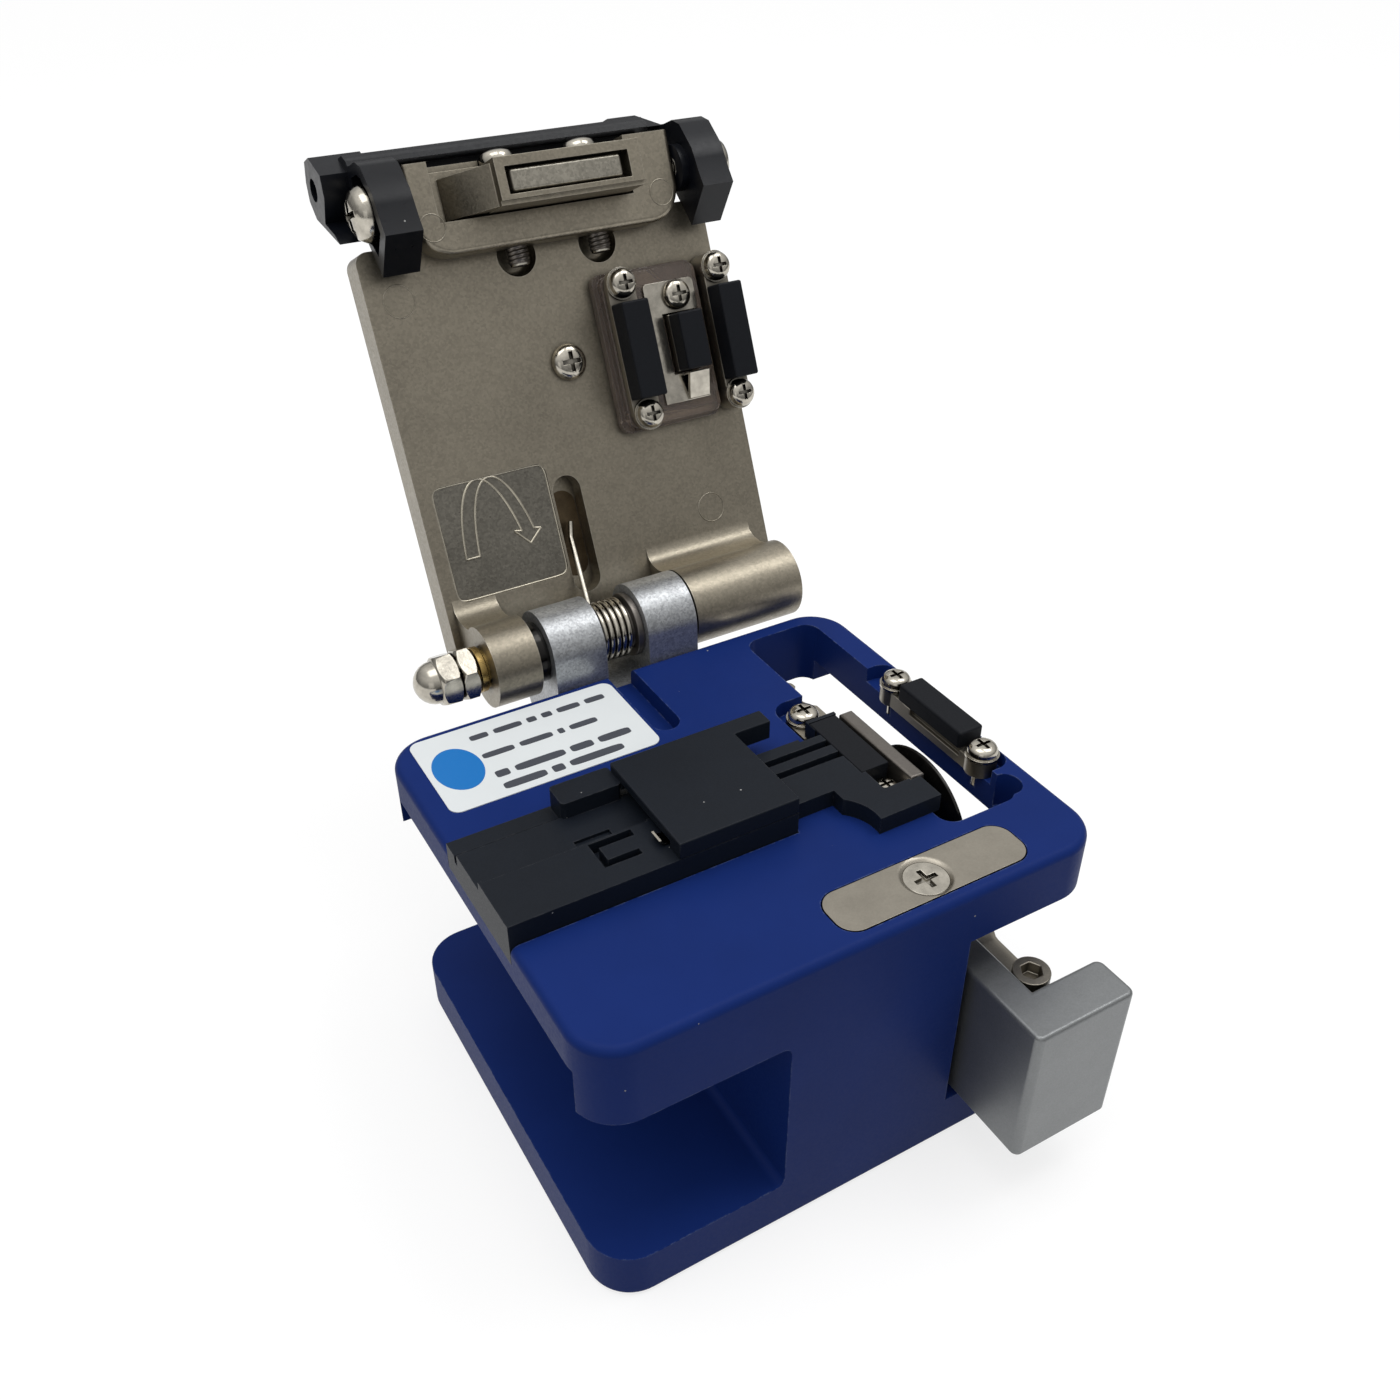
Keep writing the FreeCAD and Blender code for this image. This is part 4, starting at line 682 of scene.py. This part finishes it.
first_side = [(-12.6, 12.6), (-12.0, 24.5), (-6.9, 25.4), (-4.5, 14.4)]
second_side = [(-10.8, 12.6), (-10.2, 24.5), (-5.2, 25.2), (-2.8, 14.4)]
tail = [(-12.6, 12.6), (-10.8, 12.6)]
left_barb, left_root, tip = (-5.5, 14.6), (-4.5, 14.4), (-3.7, 12.6)
right_barb, right_root = (-1.9, 14.2), (-2.8, 14.4)
arrow = [ridge(curve_through(side, 40, PANEL_FLOOR), ARROW_R)
         for side in (first_side, second_side)]
lines = [tail, (left_barb, left_root), (left_barb, tip), (tip, right_barb),
         (right_barb, right_root)]
arrow += [ridge(straight(a, b, PANEL_FLOOR), ARROW_R) for a, b in lines]
piece_from_grids("closing_arrow", arrow, "lid", RAISED)
print("border and arrow stand", BORDER_R, "and", ARROW_R, "mm proud")

# %% [markdown]
# ## Threads of the long screws
# The two long screws end in the half-round pockets, where their threads can be seen. A thread is
# one surface over angle and length: the radius goes up and down once each pitch, and one turn of
# the angle shifts it by one pitch, which makes a single-start helix.

# %% Stud threads
STUD_X, STUD_W = (3.3, 14.6), 6.0
STUD_S0, STUD_S1 = 46.35, 51.5
STUD_R, STUD_DEPTH, STUD_PITCH = 1.44, 0.2, 0.5


def stud_thread(x):
    """Radius R - depth |2 frac(s/pitch - a/2pi) - 1|, with the first half millimetre tapered."""
    turn = np.linspace(0.0, 2 * np.pi, 36, endpoint=False)[None, :]
    s = np.linspace(STUD_S0, STUD_S1, 84)[:, None]
    wave = np.abs(2 * np.mod(s / STUD_PITCH - turn / (2 * np.pi), 1.0) - 1)
    radius = STUD_R - STUD_DEPTH * wave
    radius = np.minimum(radius, 0.95 + 0.9 * (s - STUD_S0))
    return on_lid(x + radius * np.cos(turn), s + 0 * turn, STUD_W + radius * np.sin(turn))


piece_from_grids("stud_threads", [stud_thread(x) for x in STUD_X], "lid", GROUND)
print("stud threads", STUD_PITCH, "mm pitch")

# %% [markdown]
# ## The spring's long leg and its slot
# The leg leaves the coil, goes up into the lid's slot and bends near its end. It rides on the lid,
# because the coil winds up under it as the lid shuts. A wire is a circle carried along a path and
# turned with it. The slot's floor is a thin dark brown plate, painted shade in the slot.

# %% Spring leg and slot floor


def wire(path, radius, sides=12):
    """Round wire along points (x, s, w) of the lid: point + r cos(a) n + r sin(a) b."""
    path = np.array(path, float)
    tangent = np.gradient(path, axis=0)
    tangent /= np.linalg.norm(tangent, axis=1)[:, None]
    side = np.cross(tangent, np.array([1.0, 0.0, 0.0]))
    side /= np.linalg.norm(side, axis=1)[:, None]
    up = np.cross(tangent, side)
    turn = np.linspace(0.0, 2 * np.pi, sides, endpoint=False)
    ring = (path[:, None] + radius * np.cos(turn)[None, :, None] * side[:, None]
            + radius * np.sin(turn)[None, :, None] * up[:, None])
    return on_lid(ring[..., 0], ring[..., 1], ring[..., 2])


WIRE_R = 0.36
leg = [(0.55, 2.2, 2.7), (0.75, 3.0, 3.1), (1.5, 7.4, 5.4), (2.3, 11.8, 7.8), (2.5, 12.4, 8.0),
       (2.9, 13.8, 8.2)]
piece_from_grids("spring_leg", [wire(leg, WIRE_R)], "lid", BRIGHT)

SLOT_X, SLOT_S0, SLOT_S1, SLOT_W = 2.75, 6.4, 18.0, 9.5
SLOT_WIDTH, SLOT_HALF = 3.9, 1.9      # of the slot, and half the plate's, a little less
SLOT_SKIN = (0.02, 0.03)              # mm under and over the slot's floor
slot_edge = superellipse(SLOT_HALF, SLOT_HALF, 1.0, 64)
slot_edge[:, 1] += np.sign(slot_edge[:, 1]) * (SLOT_S1 - SLOT_S0 - SLOT_WIDTH) / 2
slot_middle = np.array([SLOT_X, (SLOT_S0 + SLOT_S1) / 2])
slot_floor = plate(slot_middle, slot_edge, SLOT_W + SLOT_SKIN[0], SLOT_W - SLOT_SKIN[1])
# Painted shade: the dark brown plate darkens the slot's floor.
piece_from_grids("slot_floor", [on_lid(*np.moveaxis(slot_floor, -1, 0))], "lid", PAINTED_SLOT_SHADE)
print("leg of", 2 * WIRE_R, "mm wire")

# %% [markdown]
# ## The strap that carries the blade
# A flat strap runs back from the slide's screw, low under the deck, and then climbs beside the
# blade to its axle. It is a sweep: a rounded box that grows thicker along a path in Y and Z and
# moves sideways to clear the blade.

# %% Blade strap
STRAP_CORNER = 0.35      # exponent of the strap's rounded box


def strap(rows, steps=60, points=40):
    """Sweep of a superellipse: rows are (y, z, middle x, half width in x, half thickness)."""
    rows = np.array(rows, float)
    t = np.linspace(0, len(rows) - 1, steps)
    y, z, mid, half_x, half_t = (np.interp(t, np.arange(len(rows)), c) for c in rows.T)
    dy, dz = np.gradient(y), np.gradient(z)
    size = np.hypot(dy, dz)
    c, s = superellipse(1.0, 1.0, STRAP_CORNER, points).T
    x = mid[:, None] + half_x[:, None] * c
    off = half_t[:, None] * s
    grid = np.stack([x, y[:, None] - off * (dz / size)[:, None],
                     z[:, None] + off * (dy / size)[:, None]], -1)
    return grid * MM


arm_rows = [(-32.2, 22.85, 21.1, 2.0, 0.65), (-31.6, 22.85, 21.1, 2.2, 0.65),
            (-26.0, 22.85, 21.1, 2.2, 0.65), (-21.5, 22.9, 21.3, 2.0, 0.7),
            (-18.5, 24.0, 22.7, 1.4, 1.1), (-15.5, 26.4, 23.45, 1.25, 1.8),
            (-12.0, 29.6, 23.45, 1.25, 2.6), (-8.4, 33.2, 23.45, 1.25, 3.4),
            (-6.0, 35.4, 23.45, 1.25, 2.6), (-5.0, 36.3, 23.45, 1.25, 1.0)]
arm = piece_from_grids("blade_strap", [strap(arm_rows)], "slide", PLATE)
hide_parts("blade_arm")
print("strap of", len(arm.data.vertices), "points")

# %% [markdown]
# ## Dark linings of the lever
# The lever's bar has a lip behind the lid's end, and its right arm has a round collar against the
# lid. Both are black plastic like the lever, and they shut off the light between the two parts.

# %% Lever lining
PIVOT_S, PIVOT_W = 54.8, 3.8
COLLAR_X, COLLAR_R, COLLAR_EASE = (25.82, 27.2), 2.9, (0.12, 0.25)
LIP_X, LIP_S, LIP_W = (-13.0, 25.0), (59.0, 60.9), (10.0, 12.5)


def disc_on_lid(x0, x1, radius):
    """Turned disc round the lever's pivot between x0 and x1: s + r cos(a), w + r sin(a)."""
    turn = np.linspace(0.0, 2 * np.pi, 48, endpoint=False)
    rows = [(x0, radius - COLLAR_EASE[1]), (x0 + COLLAR_EASE[0], radius), (x1, radius)]
    return np.array([on_lid(np.full(48, x), PIVOT_S + r * np.cos(turn), PIVOT_W + r * np.sin(turn))
                     for x, r in rows])


def bar_along_x(x0, x1, corners):
    """Straight bar from x0 to x1 with the given (s, w) corners."""
    s, w = np.array(corners, float).T
    return np.array([on_lid(np.full(len(s), x), s, w) for x in (x0, x1)])


lip = bar_along_x(*LIP_X, ((LIP_S[0], LIP_W[0]), (LIP_S[1], LIP_W[0]), (LIP_S[1], LIP_W[1]),
                           (LIP_S[0], LIP_W[1])))
collar = disc_on_lid(*COLLAR_X, COLLAR_R)
piece_from_grids("lever_lining", [collar, lip], "lever", PLASTIC)
print("collar radius", COLLAR_R, "mm")

# %% [markdown]
# ## Print on the label
# The label has a blue disc and a few lines of print. Here the lines are plain grey dashes. A
# superellipse gives both shapes: power 2 is an ellipse, and a high power is a bar with round
# corners. Each one stands a few hundredths of a millimetre proud of the film.

# %% Label print
label_low, label_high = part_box("deck_label")
LABEL_TOP = label_high[2]
PRINT_T = 0.02 * MM


def pill(x, y, half_x, half_y, power):
    """Plate with a superellipse outline of exponent 2 / power, centred on (x, y)."""
    edge = superellipse(half_x, half_y, 2 / power, 40)
    return plate(np.array([x, y]), edge, LABEL_TOP - PRINT_T, LABEL_TOP + PRINT_T)


DISC_PLACE, DISC_HALF = (3.6, 7.3), (2.9, 4.05)     # mm from the label's near left corner
disc = pill(label_low[0] + DISC_PLACE[0] * MM, label_low[1] + DISC_PLACE[1] * MM,
            DISC_HALF[0] * MM, DISC_HALF[1] * MM, 2.0)
piece_from_grids("label_disc", [disc], "body", PRINT_BLUE)
PRINT_X0 = label_low[0] + 6.9 * MM
# Each row of dashes: height on the label, half thickness, and the dashes' lengths, in mm.
ROWS = ((11.9, 0.50, (2.3, 3.6, 1.2, 1.3, 3.0, 2.6)), (8.0, 0.50, (4.0, 4.2, 0.8, 3.6)),
        (4.1, 0.62, (1.7, 6.3, 2.9, 4.2)), (1.7, 0.62, (5.3, 1.5, 6.9)))
DASH_GAP = 0.75
dashes = []
for up, half, lengths in ROWS:
    left = PRINT_X0
    for length in lengths:
        dashes.append(pill(left + length * MM / 2, label_low[1] + up * MM, length * MM / 2,
                           half * MM, 5.0))
        left += (length + DASH_GAP) * MM
piece_from_grids("label_dashes", dashes, "body", PRINT_GREY)
print(len(dashes), "dashes of print")

# %% [markdown]
# ## Light
# The light is plain and soft: a sky that is bright overhead and dim at the horizon, which gives
# metal its light and dark bands, two wide panels overhead and a weak one at the front left. Seen
# straight on or through the clear plate, the sky is plain white.

# %% Lamps and sky
TOOL_CENTRE = Vector((0.0, 0.0, 0.04))


def panel(name, place, size, power):
    """A square area lamp at place, turned towards the tool."""
    lamp = bpy.data.lights.new(name, "AREA")
    lamp.energy = power
    lamp.size = size
    holder = bpy.data.objects.new(name, lamp)
    holder.location = place
    holder.rotation_euler = (TOOL_CENTRE - Vector(place)).to_track_quat("-Z", "Y").to_euler()
    bpy.context.scene.collection.objects.link(holder)


panel("overhead", (-0.12, 0.02, 0.60), 0.35, 0.7)
panel("overhead right", (0.27, -0.05, 0.58), 0.26, 0.75)
panel("front left", (-0.42, -0.45, 0.22), 0.30, 0.12)

HORIZON, ZENITH = 0.15, 1.22
world = bpy.data.worlds.new("studio")
bpy.context.scene.world = world
world.use_nodes = True
sky = world.node_tree
direction = sky.nodes.new("ShaderNodeTexCoord")
height = sky.nodes.new("ShaderNodeSeparateXYZ")
sky.links.new(direction.outputs["Generated"], height.inputs[0])
light = stretch(sky, height.outputs["Z"], 0.0, 1.0, HORIZON, ZENITH)
rays = sky.nodes.new("ShaderNodeLightPath")
seen = math_node(sky, "MAXIMUM", rays.outputs["Is Camera Ray"],
                 rays.outputs["Is Transmission Ray"])
sky.links.new(math_node(sky, "MAXIMUM", light, seen), sky.nodes["Background"].inputs["Strength"])
sky.nodes["Background"].inputs["Color"].default_value = (1, 1, 1, 1)
print("sky from", HORIZON, "at the horizon to", ZENITH, "overhead")

# %% [markdown]
# ## Floor
# The floor glows a little to the camera and in reflections, so that it reads as white and still
# keeps the tool's shadow. Its own colour is a mid grey, so it throws little light back up.

# %% Floor
FLOOR_REACH, FLOOR_GLOW = 1.5, 0.72
floor_mesh = bpy.data.meshes.new("floor")
corner = np.array([(-1, -1, 0), (1, -1, 0), (1, 1, 0), (-1, 1, 0)]) * FLOOR_REACH
floor_mesh.from_pydata(corner.tolist(), [], [(0, 1, 2, 3)])
PALE = finish("pale floor", (0.30, 0.30, 0.30), 0.9, grain=300, bump=0.0, tone=0.0, specular=0.0)
pale = PALE.node_tree
rays = pale.nodes.new("ShaderNodeLightPath")
seen = math_node(pale, "MAXIMUM", rays.outputs["Is Camera Ray"], rays.outputs["Is Glossy Ray"])
seen = math_node(pale, "MAXIMUM", seen, rays.outputs["Is Transmission Ray"])
floor_shader = pale.nodes["Principled BSDF"]
floor_shader.inputs["Emission Color"].default_value = (1, 1, 1, 1)
pale.links.new(math_node(pale, "MULTIPLY", seen, FLOOR_GLOW),
               floor_shader.inputs["Emission Strength"])
floor = bpy.data.objects.new("floor", floor_mesh)
floor_mesh.materials.append(PALE)
bpy.context.scene.collection.objects.link(floor)
print("floor", 2 * FLOOR_REACH, "m square")

# %% [markdown]
# ## Camera
# The camera looks down at the tool from its front left corner, close enough for the deck's edges
# to run together with distance.

# %% Camera
CAMERA_PLACE = (-0.06235, -0.09989, 0.13631)
CAMERA_AIM = (0.411, 0.703, -0.581)
CAMERA_LENS, SENSOR = 34.53, 36.0     # mm
camera_data = bpy.data.cameras.new("camera")
camera_data.sensor_width = SENSOR
camera_data.lens = CAMERA_LENS
camera = bpy.data.objects.new("camera", camera_data)
camera.location = CAMERA_PLACE
camera.rotation_euler = Vector(CAMERA_AIM).to_track_quat("-Z", "Y").to_euler()
bpy.context.scene.collection.objects.link(camera)
bpy.context.scene.camera = camera
bpy.context.scene.view_settings.view_transform = "Standard"
print("camera lens", CAMERA_LENS, "mm")
